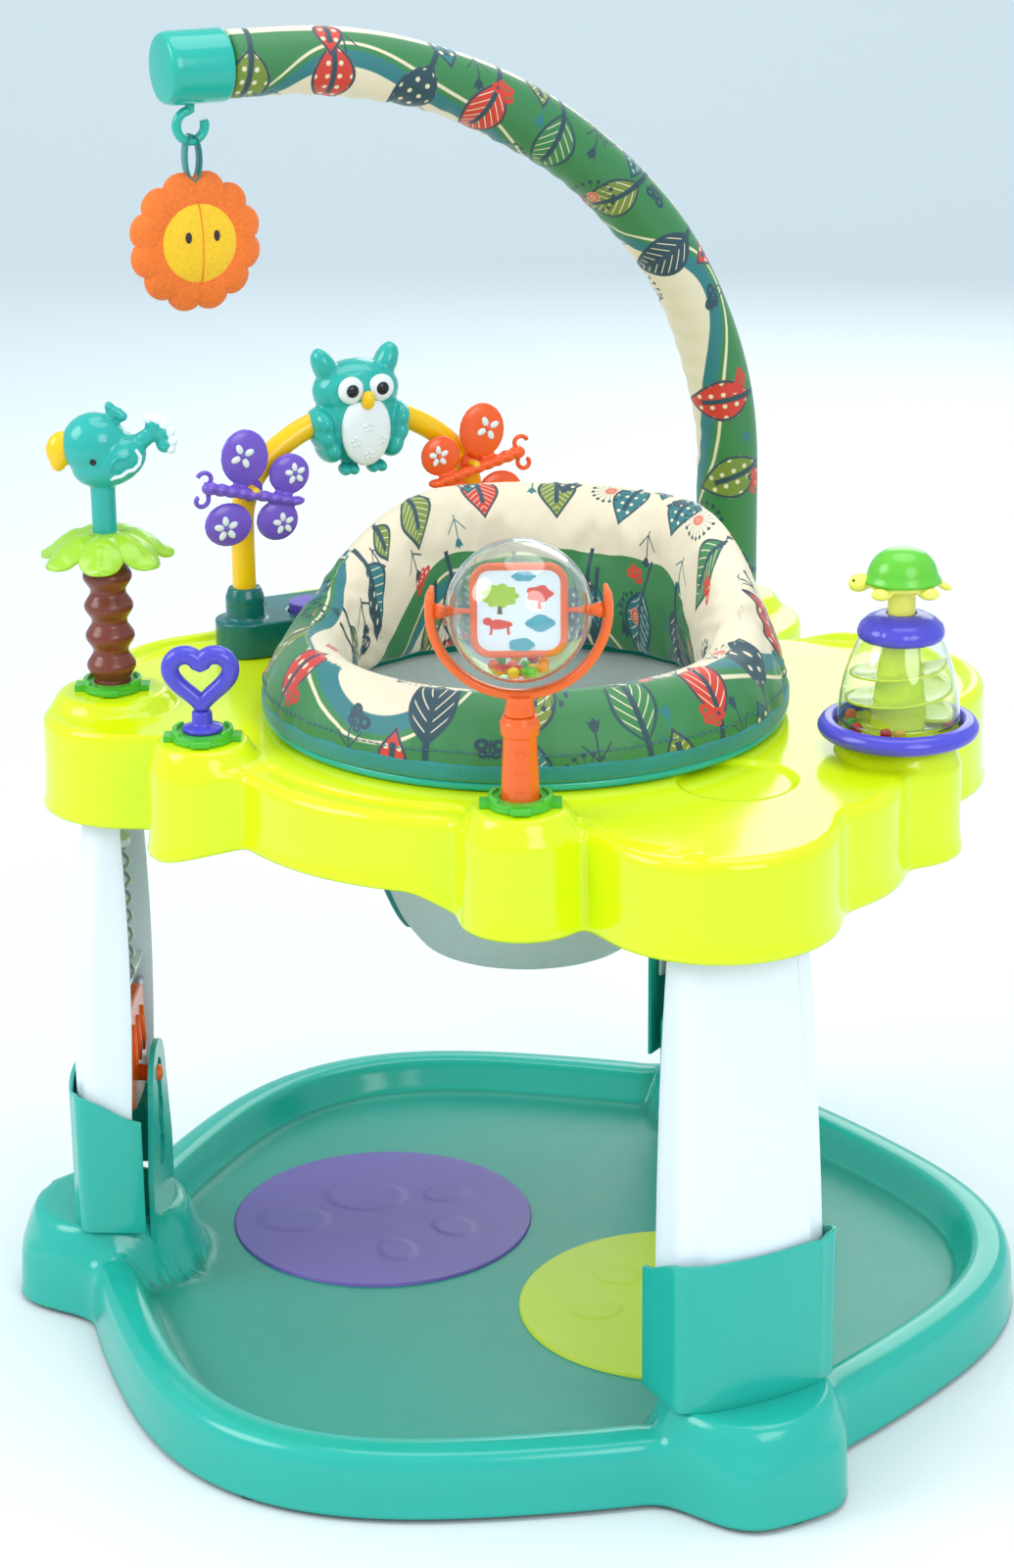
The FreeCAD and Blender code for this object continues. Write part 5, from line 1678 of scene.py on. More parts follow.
def make_bird():
    bm = bmesh.new()
    for centre, half, turn in BIRD_FORMS:
        egg(bm, Vector(centre), half, (0, turn, 0))
    for place, half, turn in (((0.028, 0, 0.034), (0.013, 0.006, 0.006), -35),
                              ((0.036, 0, 0.044), (0.006, 0.005, 0.006), 0),
                              ((0.042, 0, 0.039), (0.006, 0.005, 0.006), 0),
                              ((0.043, 0, 0.031), (0.006, 0.005, 0.006), 0),
                              ((0.010, 0, 0.053), (0.006, 0.0035, 0.004), -20),
                              ((0.007, 0, 0.057), (0.0035, 0.0035, 0.004), 0),
                              ((0.015, 0, 0.0505), (0.0042, 0.0035, 0.004), 0)):
        egg(bm, Vector(place), half, (0, turn, 0))
    bmesh.ops.create_cone(bm, segments=32, radius1=0.0085, radius2=0.0085, depth=0.040, cap_ends=True,
                          matrix=Matrix.Translation((0, 0, -0.014)))
    place = toy_place(PALM, BIRD_Z)
    melt("bird_moulding", bm, 0.0011, 8, [BIRD_TEAL], "bird", "bird_body", place)
    bm = bmesh.new()
    egg(bm, Vector((-0.0265, 0, 0.0285)), (0.0105, 0.0090, 0.0125), (0, 12, 0))
    egg(bm, Vector((-0.0290, 0, 0.0210)), (0.0060, 0.0070, 0.0080), (0, 0, 0))
    melt("bird_beak_moulding", bm, 0.0009, 6, [YELLOW], "bird", "bird_beak", place)
    for side, label in ((-1, "front"), (1, "rear")):
        bm = bmesh.new()
        egg(bm, Vector((-0.0035, bird_skin(-0.0035, 0.0235, side), 0.0235)), (0.0023, 0.0009, 0.0023))
        eye = finish_mesh(f"bird_eye_{label}", bm, [BLACK], "bird")
        eye.data.transform(place)
        wing = [(0.0245, 0.030), (0.0270, 0.0250), (0.0262, 0.0200), (0.0225, 0.0165), (0.0185, 0.0160),
                (0.0145, 0.0130), (0.0105, 0.0125), (0.0075, 0.0105)]
        path = [Vector((x, bird_skin(x, z, side) - side * 0.0004, z)) for x, z in wing]
        line = finish_mesh(f"bird_wing_line_{label}", tube(path, [0.0010] + [0.0016] * 6 + [0.0010], 12),
                           [WHITE], "bird")
        line.data.transform(place)
        edge = [(0.0225, 0.0285), (0.0180, 0.0255), (0.0130, 0.0262), (0.0085, 0.0215), (0.0085, 0.0160)]
        path = [Vector((x, bird_skin(x, z, side) - side * 0.0006, z)) for x, z in edge]
        line = finish_mesh(f"bird_wing_edge_{label}", tube(path, [0.0008, 0.0014, 0.0016, 0.0014, 0.0008], 12),
                           [BIRD_TEAL], "bird")
        line.data.transform(place)
    bm = bmesh.new()
    for x, z, r in ((0.0330, 0.0490, 0.0042), (0.0385, 0.0480, 0.0042), (0.0430, 0.0445, 0.0040),
                    (0.0465, 0.0395, 0.0040), (0.0480, 0.0335, 0.0040), (0.0470, 0.0280, 0.0036)):
        egg(bm, Vector((x, 0, z)), (r, 0.0046, r))
    melt("bird_tail_tips", bm, 0.0009, 3, [WHITE], "bird", None, place)


make_bird()
print("bird on its perch")

# %% [markdown]
# The heart is a thick loop of violet-blue plastic on a small flanged stem. A heart curve gives the path, and
# the tube swells slightly towards the lobes.

# %% Heart
def make_heart():
    base = low_z("heart_loop")
    top = high_z("heart_loop")
    place = toy_place(HEART, 0)
    size = 0.00124
    path, radii = [], []
    for t in circle(96):
        x = 16 * math.sin(t) ** 3
        z = 13 * math.cos(t) - 5 * math.cos(2 * t) - 2 * math.cos(3 * t) - math.cos(4 * t)
        z = min(z, 11.9) if abs(x) < 1 else z
        path.append(Vector((x * size, 0, top - 0.0215 + z * size)))
        radii.append(0.0056 + 0.0011 * (z + 17) / 29)
    loop = tube(path, radii, 24, closed=True)
    piece = finish_mesh("heart_ring", loop, [VIOLET], "heart", "heart_loop")
    relax = piece.modifiers.new("relax", "SMOOTH")
    relax.iterations = 10
    bake(piece)
    for face in piece.data.polygons:
        face.use_smooth = True
    piece.data.transform(place)
    stem = lathe(rounded([(0.0, base), (0.0120, base), (0.0120, base + 0.0050), (0.0135, base + 0.0062),
                          (0.0135, base + 0.0085), (0.0070, base + 0.0105), (0.0066, base + 0.0190),
                          (0.0, base + 0.0200)],
                         0.0012), Vector((HEART.x, HEART.y, 0)), 48)
    finish_mesh("heart_stem", stem, [VIOLET], "heart")


make_heart()
print("heart on its stem")

# %% [markdown]
# The clear ball turns on an orange U on a tapered post. Inside it hang a picture card in a frame and loose
# beads. The ball is two clear shells joined at a seam, so it is a thin sphere with a small flange.

# %% Ball toy
BALL_Z = 0.575
GLOBE = 0.0440
YOKE_REACH = 0.0530
BEAD = 0.0037
POST_TOP = high_z("ball_post")


def make_post():
    base, top = low_z("ball_post"), POST_TOP
    centre = Vector((BALL.x, BALL.y, 0))
    profile = [(0.0, base), (0.0128, base), (0.0132, base + 0.0020), (0.0122, base + 0.0045),
               (0.0104, top - 0.0130),
               (0.0120, top - 0.0120), (0.0124, top - 0.0040), (0.0114, top - 0.0030), (0.0108, top),
               (0.0, top)]
    finish_mesh("ball_post_moulding", lathe(rounded(profile, 0.0008, 3), centre, 64), [ORANGE], "tray",
                "ball_post")
    place = toy_place(BALL, 0)
    for k in range(3):
        z = base + 0.010 + 0.0125 * k
        skin = 0.0122 - 0.0018 * (z - base) / (top - base)
        path = []
        for t in circle(24):
            hx = 16 * math.sin(t) ** 3 * 0.00021
            hz = (13 * math.cos(t) - 5 * math.cos(2 * t) - 2 * math.cos(3 * t) - math.cos(4 * t)) * 0.00021
            path.append(Vector((hx, -math.sqrt(skin ** 2 - hx ** 2) + 0.0001, z + hz)))
        outline = finish_mesh(f"post_heart_{k}", tube(path, 0.00042, 8, closed=True), [ORANGE], "tray")
        outline.data.transform(place)


def make_yoke():
    """A flat U, widening to rounded ends that hold the axle."""
    place = toy_place(BALL, BALL_Z)
    rings = []
    for a in np.linspace(-107, 107, 84):
        turn = math.radians(a)
        share = abs(a) / 107
        wide = 0.0050 + 0.0036 * float(blend_step(np.array(share), 0.55, 0.88))
        wide *= math.sqrt(max(0.0, 1 - float(blend_step(np.array(share), 0.90, 1.0)) ** 2 * 0.97))
        thick = 0.0030 if share < 0.93 else 0.0030 * (1 - (share - 0.93) / 0.07 * 0.6)
        out = Vector((math.sin(turn), 0, -math.cos(turn)))
        middle_at = out * (YOKE_REACH + 0.0015 * share)
        ring = []
        for b in circle(20):
            ring.append(place @ (middle_at + out * thick * abs(math.sin(b)) ** 0.7
                                 * (1 if math.sin(b) > 0 else -1)
                                 + Vector((0, 1, 0)) * wide * abs(math.cos(b)) ** 0.7
                                 * (1 if math.cos(b) > 0 else -1)))
        rings.append(ring)
    bm = loft(rings, cap=True)
    face_out(bm)
    finish_mesh("ball_yoke_strap", bm, [ORANGE], "yoke", "ball_yoke")
    for side in (-1, 1):
        path = [place @ Vector((side * x, 0, 0)) for x in (0.0520, 0.0475, 0.0440, 0.0405)]
        finish_mesh(f"yoke_axle_{side + 1}", tube(path, [0.0050, 0.0046, 0.0030, 0.0028], 24), [ORANGE], "yoke")
    stem = lathe(rounded([(0.0, POST_TOP), (0.0098, POST_TOP + 0.0004), (0.0086, POST_TOP + 0.0080),
                          (0.0090, POST_TOP + 0.0130), (0.0, POST_TOP + 0.0140)], 0.001),
                          Vector((BALL.x, BALL.y, 0)), 48)
    finish_mesh("yoke_stem", stem, [ORANGE], "yoke")


def make_globe():
    place = toy_place(BALL, BALL_Z)
    bm = bmesh.new()
    bmesh.ops.create_uvsphere(bm, u_segments=72, v_segments=48, radius=GLOBE)
    globe = finish_mesh("ball_globe", bm, [CLEAR], "ball", "ball_shell")
    globe.data.transform(place)
    wall = globe.modifiers.new("wall", "SOLIDIFY")
    wall.thickness = 0.0012
    wall.offset = -1
    seam = [place @ Vector((GLOBE * math.cos(a), 0, GLOBE * math.sin(a))) for a in circle(96)]
    finish_mesh("ball_seam", tube(seam, 0.0008, 8, closed=True), [CLEAR], "ball")


def rounded_square(half, corner, steps=10):
    points = []
    for k, (sx, sz) in enumerate(((1, 1), (-1, 1), (-1, -1), (1, -1))):
        for a in np.linspace(0, math.pi / 2, steps):
            turn = a + k * math.pi / 2
            points.append((sx * (half - corner) + corner * math.cos(turn), sz * (half - corner) + corner
                           * math.sin(turn)))
    return points


def make_frame():
    place = toy_place(BALL, BALL_Z)
    path = [place @ Vector((x, 0, z)) for x, z in rounded_square(0.0275, 0.0105)]
    finish_mesh("picture_frame_ring", tube(path, 0.0024, 16, closed=True), [ORANGE], "ball", "picture_frame")
    for side in (-1, 1):
        arm = [place @ Vector((side * x, 0, 0)) for x in (0.0280, 0.0345, 0.0405, 0.0432)]
        finish_mesh(f"frame_arm_{side + 1}", tube(arm, [0.0016, 0.0016, 0.0024, 0.0030], 16), [ORANGE], "ball")


def flat_shape(name, points, lift, material, place):
    """A thin printed shape on one side of the card; points are (x, z) in metres."""
    bm = bmesh.new()
    front = [bm.verts.new(place @ Vector((x, lift, z))) for x, z in points]
    back = [bm.verts.new(place @ Vector((x, lift * 0.6, z))) for x, z in points]
    bm.faces.new(front)
    bm.faces.new(back[::-1])
    for k in range(len(points)):
        n = (k + 1) % len(points)
        bm.faces.new((front[k], back[k], back[n], front[n]))
    face_out(bm)
    bmesh.ops.triangulate(bm, faces=bm.faces)
    return finish_mesh(name, bm, [material], "ball", smooth=False)


def blob(cx, cz, rx, rz, bumps=0, depth=0.0, start=0.0):
    points = []
    for a in circle(40):
        swell = 1 + depth * math.cos(bumps * a + start)
        points.append((cx + rx * swell * math.cos(a), cz + rz * swell * math.sin(a)))
    return points


def make_card():
    place = toy_place(BALL, BALL_Z)
    bm = bmesh.new()
    rows = []
    for y in (-0.0007, 0.0007):
        rows.append([place @ Vector((x, y, z)) for x, z in rounded_square(0.0265, 0.0095)])
    bm.free()
    bm = loft(rows, cap=True)
    face_out(bm)
    finish_mesh("picture_card_board", bm, [CARD], "ball", "picture_card", smooth=False)
    shapes = [("green_tree", blob(-0.0115, 0.0095, 0.0110, 0.0072, 9, 0.10), OLIVE_INK),
              ("tree_trunk", [(-0.0125, 0.0030), (-0.0105, 0.0030), (-0.0100, -0.0020), (-0.0130, -0.0020)],
               BROWN_INK),
              ("red_cap", blob(0.0125, 0.0105, 0.0078, 0.0050, 5, 0.12), RED_INK),
              ("red_stem", [(0.0117, 0.0060), (0.0133, 0.0060), (0.0138, 0.0010), (0.0112, 0.0010)], RED_INK),
              ("blue_cloud", blob(0.0030, 0.0215, 0.0070, 0.0030, 6, 0.08), BLUE_INK),
              ("runner_body", blob(-0.0115, -0.0085, 0.0070, 0.0030, 3, 0.10), RED_INK),
              ("runner_head", blob(-0.0190, -0.0065, 0.0028, 0.0024), RED_INK),
              ("runner_leg_one", [(-0.0170, -0.0100), (-0.0155, -0.0100), (-0.0165, -0.0150),
                                  (-0.0180, -0.0150)], RED_INK),
              ("runner_leg_two", [(-0.0075, -0.0100), (-0.0060, -0.0100), (-0.0055, -0.0150),
                                  (-0.0070, -0.0150)], RED_INK),
              ("blue_beast", blob(0.0130, -0.0080, 0.0085, 0.0050, 4, 0.09), BLUE_INK),
              ("blue_hill", blob(0.0015, -0.0215, 0.0078, 0.0042, 5, 0.06), BLUE_INK)]
    for name, points, ink in shapes:
        flat_shape(f"card_{name}_front", points, -0.0011, ink, place)
        flat_shape(f"card_{name}_rear", points, 0.0011, ink, place)


def make_beads():
    """Loose beads lie in the bottom of the globe, in two packed rings."""
    place = toy_place(BALL, BALL_Z)
    choices = (RED, YELLOW, GREEN, ORANGE)
    rows = {material.name: bmesh.new() for material in choices}
    spots = [(0, 0, 0.0)] + [(a, 0.0082, 0.0) for a in range(0, 360, 60)] + [(a + 17, 0.0158, 0.3)
        for a in range(0, 360, 40)]
    for k, (turn, ring, _) in enumerate(spots):
        depth = math.sqrt((0.0422 - 0.0040) ** 2 - ring ** 2)
        at = polar(turn, ring, -depth)
        bmesh.ops.create_icosphere(rows[choices[k % 4].name], subdivisions=2, radius=BEAD,
                                   matrix=Matrix.Translation(at))
    for k, material in enumerate(choices):
        beads = finish_mesh(f"ball_beads_{k}", rows[material.name], [material], "ball")
        beads.data.transform(place)
    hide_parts("ball_beads")


CARD = plastic("picture_card_white", (0.86, 0.87, 0.86), 0.40, cloud=0.02, glow=0.0)
OLIVE_INK = plastic("card_green_ink", (0.42, 0.58, 0.03), 0.42)
RED_INK = plastic("card_red_ink", (0.80, 0.07, 0.03), 0.42)
BLUE_INK = plastic("card_blue_ink", (0.09, 0.38, 0.45), 0.42)
BROWN_INK = plastic("card_brown_ink", (0.16, 0.07, 0.04), 0.42)
make_post()
make_yoke()
make_globe()
make_frame()
make_card()
make_beads()
print("ball toy done")

# %% [markdown]
# The spinner has a violet ring at its foot, a clear dome with a spiral slide and balls, a scalloped cap, and
# a turtle on a push stem. The slide is a helicoid, made as rows of points that climb as they turn.

# %% Spinner
SPIN = Vector((SPINNER.x, SPINNER.y, 0))
SPIN_BASE = low_z("spinner_ring")
DOME_LOW, DOME_HIGH = low_z("spinner_dome"), high_z("spinner_dome")


def dome_radius(z):
    share = (z - DOME_LOW) / (DOME_HIGH - DOME_LOW)
    return 0.0400 - 0.0150 * share ** 2.1


def make_spinner():
    base = SPIN_BASE
    profile = [(0.0, base), (0.0480, base), (0.0520, base + 0.0030), (0.0530, base + 0.0070),
               (0.0500, base + 0.0118),
               (0.0440, base + 0.0130), (0.0405, base + 0.0095), (0.0400, base + 0.0040), (0.0, base + 0.0040)]
    finish_mesh("spinner_foot_ring", lathe(rounded(profile, 0.0035, 6), SPIN, 96), [VIOLET], "tray",
                "spinner_ring")
    floor = lathe([(0.0, base + 0.0055), (0.0395, base + 0.0055), (0.0395, base + 0.0042),
                   (0.0, base + 0.0042)], SPIN, 64)
    finish_mesh("spinner_floor", floor, [LIME], "tray")
    rings = [(dome_radius(z), z) for z in np.linspace(DOME_LOW - 0.003, DOME_HIGH, 24)]
    bm = loft([[SPIN + polar(h, r, z) for h in np.linspace(0, 360, 96, endpoint=False)] for r, z in rings])
    face_out(bm)
    if sum((f.calc_center_median() - SPIN).xy.dot(f.normal.xy) for f in bm.faces) < 0:
        bmesh.ops.reverse_faces(bm, faces=bm.faces)
    dome = finish_mesh("spinner_clear_dome", bm, [CLEAR], "tray", "spinner_dome")
    wall = dome.modifiers.new("wall", "SOLIDIFY")
    wall.thickness = 0.0012
    wall.offset = -1
    cap_rings = []
    for radius, z, scallop in ((0.0080, DOME_HIGH - 0.004, 0), (0.0265, DOME_HIGH - 0.004, 0.0),
                               (0.0282, DOME_HIGH - 0.002, 0.2),
                               (0.0285, DOME_HIGH + 0.001, 0.6), (0.0270, DOME_HIGH + 0.0050, 1.0),
                               (0.0225, DOME_HIGH + 0.0090, 1.0),
                               (0.0165, DOME_HIGH + 0.0118, 0.6), (0.0110, DOME_HIGH + 0.0128, 0.2),
                               (0.0098, DOME_HIGH + 0.0128, 0.0),
                               (0.0096, DOME_HIGH + 0.0100, 0.0)):
        cap_rings.append([SPIN
            + polar(h, radius * (1 - 0.022 * scallop * (1 - abs(math.cos(math.radians(h * 5))) ** 0.6)), z)
                          for h in np.linspace(0, 360, 160, endpoint=False)])
    bm = loft(cap_rings)
    face_out(bm)
    finish_mesh("spinner_scalloped_cap", bm, [VIOLET], "tray", "spinner_cap")


def make_slide():
    base = SPIN_BASE
    core = lathe(rounded([(0.0, base + 0.0070), (0.0190, base + 0.0070), (0.0150, base + 0.0400),
                          (0.0125, DOME_HIGH - 0.006),
                          (0.0, DOME_HIGH - 0.006)], 0.002), SPIN, 56)
    finish_mesh("spinner_core", core, [LIME], "spiral", "spinner_spiral")
    turns = 2.1
    upper, lower = [], []
    for k in range(150):
        share = k / 149
        z = base + 0.012 + share * 0.036
        heading = 360 * turns * share
        outer = dome_radius(z) - 0.0042
        for rows, lift in ((upper, 0.0008), (lower, -0.0008)):
            rows.append([SPIN + polar(heading, r, z + lift + 0.0030 * (r / outer) ** 4)
                         for r in np.linspace(0.010, outer, 8)])
    rings = [top + bottom[::-1] for top, bottom in zip(upper, lower)]
    bm = loft(rings, cap=True)
    face_out(bm)
    finish_mesh("spinner_slide", bm, [LIME], "spiral")


def make_spinner_balls():
    base = SPIN_BASE + 0.0055
    for k, (heading, ring, material) in enumerate(((-62, 0.0325, YELLOW), (-78, 0.0318, RED),
                                                   (-118, 0.0330, RED), (-135, 0.0322, GREEN),
                                                   (20, 0.0322, RED), (100, 0.0325, YELLOW),
                                                   (190, 0.0325, ORANGE))):
        bm = bmesh.new()
        bmesh.ops.create_icosphere(bm, subdivisions=3, radius=0.0040, matrix=Matrix.Translation(SPIN
            + polar(heading, ring, base + 0.0042)))
        balls = finish_mesh(f"spinner_ball_{k}", bm, [material], "tray")
    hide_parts("spinner_balls")


make_spinner()
make_slide()
make_spinner_balls()
print("spinner done")

# %% [markdown]
# The turtle is four feet, a head and a tail in pale yellow under a domed green shell with a turned-out rim.

# %% Turtle
def make_turtle():
    low = low_z("turtle_shell") - 0.0092
    place = toy_place(SPINNER, low)
    bm = bmesh.new()
    egg(bm, Vector((0, 0, 0.0060)), (0.0230, 0.0200, 0.0052))
    for x, y in ((-0.0150, -0.0165), (0.0150, -0.0165), (-0.0150, 0.0165), (0.0150, 0.0165)):
        egg(bm, Vector((x, y, 0.0035)), (0.0075, 0.0062, 0.0042), (0, 0, 30 if x * y > 0 else -30))
    egg(bm, Vector((-0.0275, 0, 0.0070)), (0.0078, 0.0066, 0.0062), (0, -14, 0))
    egg(bm, Vector((0.0270, 0, 0.0040)), (0.0060, 0.0030, 0.0026), (0, 24, 0))
    melt("turtle_soft_body", bm, 0.0011, 5, [BUTTER], "turtle", "turtle_body", place)
    foot = low_z("turtle_body")
    stem = lathe(rounded([(0.0, foot + 0.004), (0.0092, foot + 0.004), (0.0090, low - 0.001),
                          (0.0105, low + 0.003), (0.0, low + 0.004)],
                         0.001), SPIN, 48)
    finish_mesh("turtle_stem", stem, [BUTTER], "turtle")
    rings = []
    top = high_z("turtle_shell") - low
    for share in np.linspace(0, 1, 26):
        a = share * math.pi / 2
        wide = math.cos(a) ** 0.85 if share < 1 else 0.0
        rim = 1 + 0.10 * math.exp(-(share / 0.07) ** 2)
        z = 0.0080 + (top - 0.0080) * math.sin(a) ** 0.92
        rings.append([place @ Vector((0.0232 * wide * rim * math.cos(b), 0.0208 * wide * rim * math.sin(b), z))
                      for b in circle(72)])
    bm = loft(rings)
    merge(bm, 1e-6)
    bmesh.ops.holes_fill(bm, edges=bm.edges)
    face_out(bm)
    finish_mesh("turtle_domed_shell", bm, [SHELL_GREEN], "turtle", "turtle_shell")
    for side in (-1, 1):
        bm = bmesh.new()
        egg(bm, place @ Vector((-0.0318, side * 0.0042, 0.0095)), (0.0010, 0.0010, 0.0010), detail=2)
        finish_mesh(f"turtle_eye_{side + 1}", bm, [BLACK], "turtle")


make_turtle()
print("turtle done")

# %% [markdown]
# The music toy is a teal block under a yellow arch. The arch rises straight from its two feet, then follows
# two arcs that meet smoothly, and three toys turn on it: an owl and two butterflies.

# %% Arch and music block
ARCH = Vector((-0.1950, 0.0715, 0))
ARCH_HEADING = 57.553
HALF_ARCH = 0.08947
KNEE, ARCH_TOP = 0.535, 0.607
BUTTERFLY_Z = 0.562
TOY_WHITE = plastic("toy_white_plastic", (0.84, 0.84, 0.82), 0.25, cloud=0.02)


def arch_path():
    """The middle line of the arch, from its left foot to its right one."""
    root = math.sqrt(0.5)
    small = (ARCH_TOP - KNEE - HALF_ARCH * (1 - root) / root) / (root - (1 - root) ** 2 / root)
    large = (HALF_ARCH - small * (1 - root)) / root
    joint_x, joint_z = -HALF_ARCH + small * (1 - root), KNEE + small * root
    half = [(-HALF_ARCH, z) for z in np.linspace(low_z("arch_tube") + 0.001, KNEE, 12)]
    half += [(-HALF_ARCH + small * (1 - math.cos(a)), KNEE + small * math.sin(a)) for a in np.linspace(0,
        math.pi / 4, 16)[1:]]
    half += [(joint_x + large * (root - math.cos(a)), joint_z + large * (math.sin(a) - root))
             for a in np.linspace(math.pi / 4, math.pi / 2, 20)[1:]]
    return half + [(-x, z) for x, z in half[-2::-1]]


def moulded_copy(node, voxel, soften, material, body):
    """Soften a copy of a CAD piece into a moulding with rounded edges."""
    bm = bmesh.new()
    bm.from_mesh(NODES[node].data)
    merge(bm, 1e-5)
    return melt(f"{node}_moulding", bm, voxel, soften, [material], body, node)


def make_arch():
    place = toy_place(ARCH, 0, ARCH_HEADING)
    path = [place @ Vector((x, 0, z)) for x, z in arch_path()]
    finish_mesh("arch_yellow_tube", tube(path, 0.0085, 36), [YELLOW], "tray", "arch_tube")
    block_top = high_z("music_base")
    for side in (-1, 1):
        foot = place @ Vector((side * HALF_ARCH, 0, 0))
        collar = lathe(rounded([(0.0086, block_top - 0.002), (0.0140, block_top - 0.002),
                                (0.0140, block_top + 0.004),
                                (0.0115, block_top + 0.011), (0.0086, block_top + 0.011)], 0.0015), foot, 48,
                                close=False)
        finish_mesh(f"arch_collar_{side + 1}", collar, [DEEP_TEAL], "tray")
        pin = [place @ Vector((side * (HALF_ARCH - 0.004), y, BUTTERFLY_Z)) for y in (0.0, -0.010, -0.0185,
            -0.0215)]
        finish_mesh(f"butterfly_pin_{side + 1}", tube(pin, [0.0034, 0.0034, 0.0034, 0.0020], 24), [YELLOW],
                    "tray")


make_arch()
moulded_copy("music_base", 0.0013, 4, DEEP_TEAL, "tray")
moulded_copy("music_button", 0.0007, 5, PURPLE, "music_button")
print("arch and music block done")

# %% [markdown]
# Each butterfly is four flat puffed wings and a body, melted together, with white flowers raised on the wings
# and two curled antennae. The right one mirrors the left.

# %% Butterflies
WINGS = ((-6, 25, 18, 20.5), (27, 9.5, 15.5, 15), (-20, -22, 18, 16), (17, -23, 16, 15))


def flower(bm, centre, petals, reach):
    for k in range(petals):
        turn = 2 * math.pi * k / petals + 0.4
        at = centre + Vector((math.cos(turn) * reach, 0, math.sin(turn) * reach))
        egg(bm, at, (reach * 0.72, 0.0011, reach * 0.46), (0, -math.degrees(turn), 0), detail=2)


def make_butterfly(side, material, node):
    place = toy_place(ARCH, 0, ARCH_HEADING)
    flip = 1 if side < 0 else -1
    hub = Vector((side * (HALF_ARCH - 0.004), -0.0155, BUTTERFLY_Z))
    bm = bmesh.new()
    for x, z, wide, tall in WINGS:
        egg(bm, hub + Vector((flip * x, 0, z)) * MM, (wide * MM, 0.0044, tall * MM))
    for step in np.linspace(0, 1, 9):
        at = hub + Vector((flip * (-33 + 64 * step), -2.0, 6 - 16 * step)) * MM
        egg(bm, at, (0.0066, 0.0050, 0.0050 - 0.0016 * step))
    melt(f"{node}_wings", bm, 0.0010, 3, [material], node, node, place)
    hub_tube = [place @ (hub + Vector((0, y, 0))) for y in (0.0050, 0.0090, 0.0125)]
    finish_mesh(f"{node}_hub", tube(hub_tube, 0.0085, 32), [material], node)
    flowers, hearts = bmesh.new(), bmesh.new()
    for (x, z, wide, _), petals in zip(WINGS, (4, 5, 5, 5)):
        centre = hub + Vector((flip * (x + (3 if x > 0 else -3)), -4.4, z * 1.08)) * MM
        reach = wide * 0.30 * MM
        flower(flowers, centre, petals, reach)
        egg(hearts, centre + Vector((0, -0.0010, 0)), (reach * 0.36, 0.0011, reach * 0.36), detail=2)
    for bm, ink, name in ((flowers, TOY_WHITE, "flowers"), (hearts, material, "flower_eyes")):
        piece = finish_mesh(f"{node}_{name}", bm, [ink], node)
        piece.data.transform(place)
    for k, (x, z, turn) in enumerate(((-34, 12, 0.4), (-38, -2, 2.6))):
        curl = []
        for a in np.linspace(0, 4.6, 26):
            reach = 0.0062 - 0.00075 * a
            curl.append(place @ (hub + Vector((flip * (x - 2), 0, z)) * MM
                                 + Vector((-flip * reach * math.cos(a + turn), -0.0005,
                                           reach * math.sin(a + turn)))))
        finish_mesh(f"{node}_antenna_{k}", tube(curl, 0.0017, 14), [material], node)


make_butterfly(-1, PURPLE, "butterfly_left")
make_butterfly(1, HOT_ORANGE, "butterfly_right")
print("butterflies done")

# %% [markdown]
# The owl rocks on the top of the arch. Its body, ear tufts, wings and feet are one moulding, and its belly,
# eyes and beak are set on the front.

# %% Owl
def make_owl():
    place = toy_place(ARCH, ARCH_TOP, ARCH_HEADING)
    bm = bmesh.new()
    egg(bm, Vector((0, 0, -0.004)), (0.0310, 0.0225, 0.0340))
    egg(bm, Vector((0, 0, 0.0165)), (0.0325, 0.0225, 0.0225))
    for side in (-1, 1):
        egg(bm, Vector((side * 0.0235, 0, 0.0345)), (0.0085, 0.0100, 0.0150), (0, side * 24, 0))
        for x, z in ((0.0290, -0.004), (0.0280, -0.014), (0.0240, -0.023)):
            egg(bm, Vector((side * x, -0.004, z)), (0.0085, 0.0170, 0.0110), (0, side * 16, 0))
        for x in (0.0075, 0.0140):
            egg(bm, Vector((side * x, -0.0100, -0.0385)), (0.0042, 0.0085, 0.0045))
    melt("owl_soft_body", bm, 0.0012, 5, [BIRD_TEAL], "owl", "owl_body", place)
    bm = bmesh.new()
    egg(bm, Vector((0, -0.0185, -0.0095)), (0.0190, 0.0060, 0.0260))
    belly = finish_mesh("owl_white_belly", bm, [TOY_WHITE], "owl", "owl_belly")
    belly.data.transform(place)
    bm = bmesh.new()
    for x, z in ((0, -0.006), (-0.0095, -0.016), (0.0095, -0.016), (0, -0.026)):
        flower(bm, Vector((x, -0.0242 + abs(x) * 0.10 + max(0, -z - 0.016) * 0.10, z)), 5, 0.0026)
    marks = finish_mesh("owl_belly_flowers", bm, [TOY_WHITE], "owl")
    marks.data.transform(place)
    for side in (-1, 1):
        for name, half, back, ink in (("eye", (0.0098, 0.0040, 0.0098), -0.0200, TOY_WHITE),
                                      ("pupil", (0.0048, 0.0022, 0.0048), -0.0232, BLACK)):
            bm = bmesh.new()
            egg(bm, Vector((side * 0.0115, back, 0.0205)), half)
            dot = finish_mesh(f"owl_{name}_{side + 1}", bm, [ink], "owl")
            dot.data.transform(place)
    bm = bmesh.new()
    egg(bm, Vector((0, -0.0235, 0.0130)), (0.0050, 0.0048, 0.0068))
    beak = finish_mesh("owl_beak", bm, [YELLOW], "owl")
    beak.data.transform(place)


make_owl()
print("owl done")

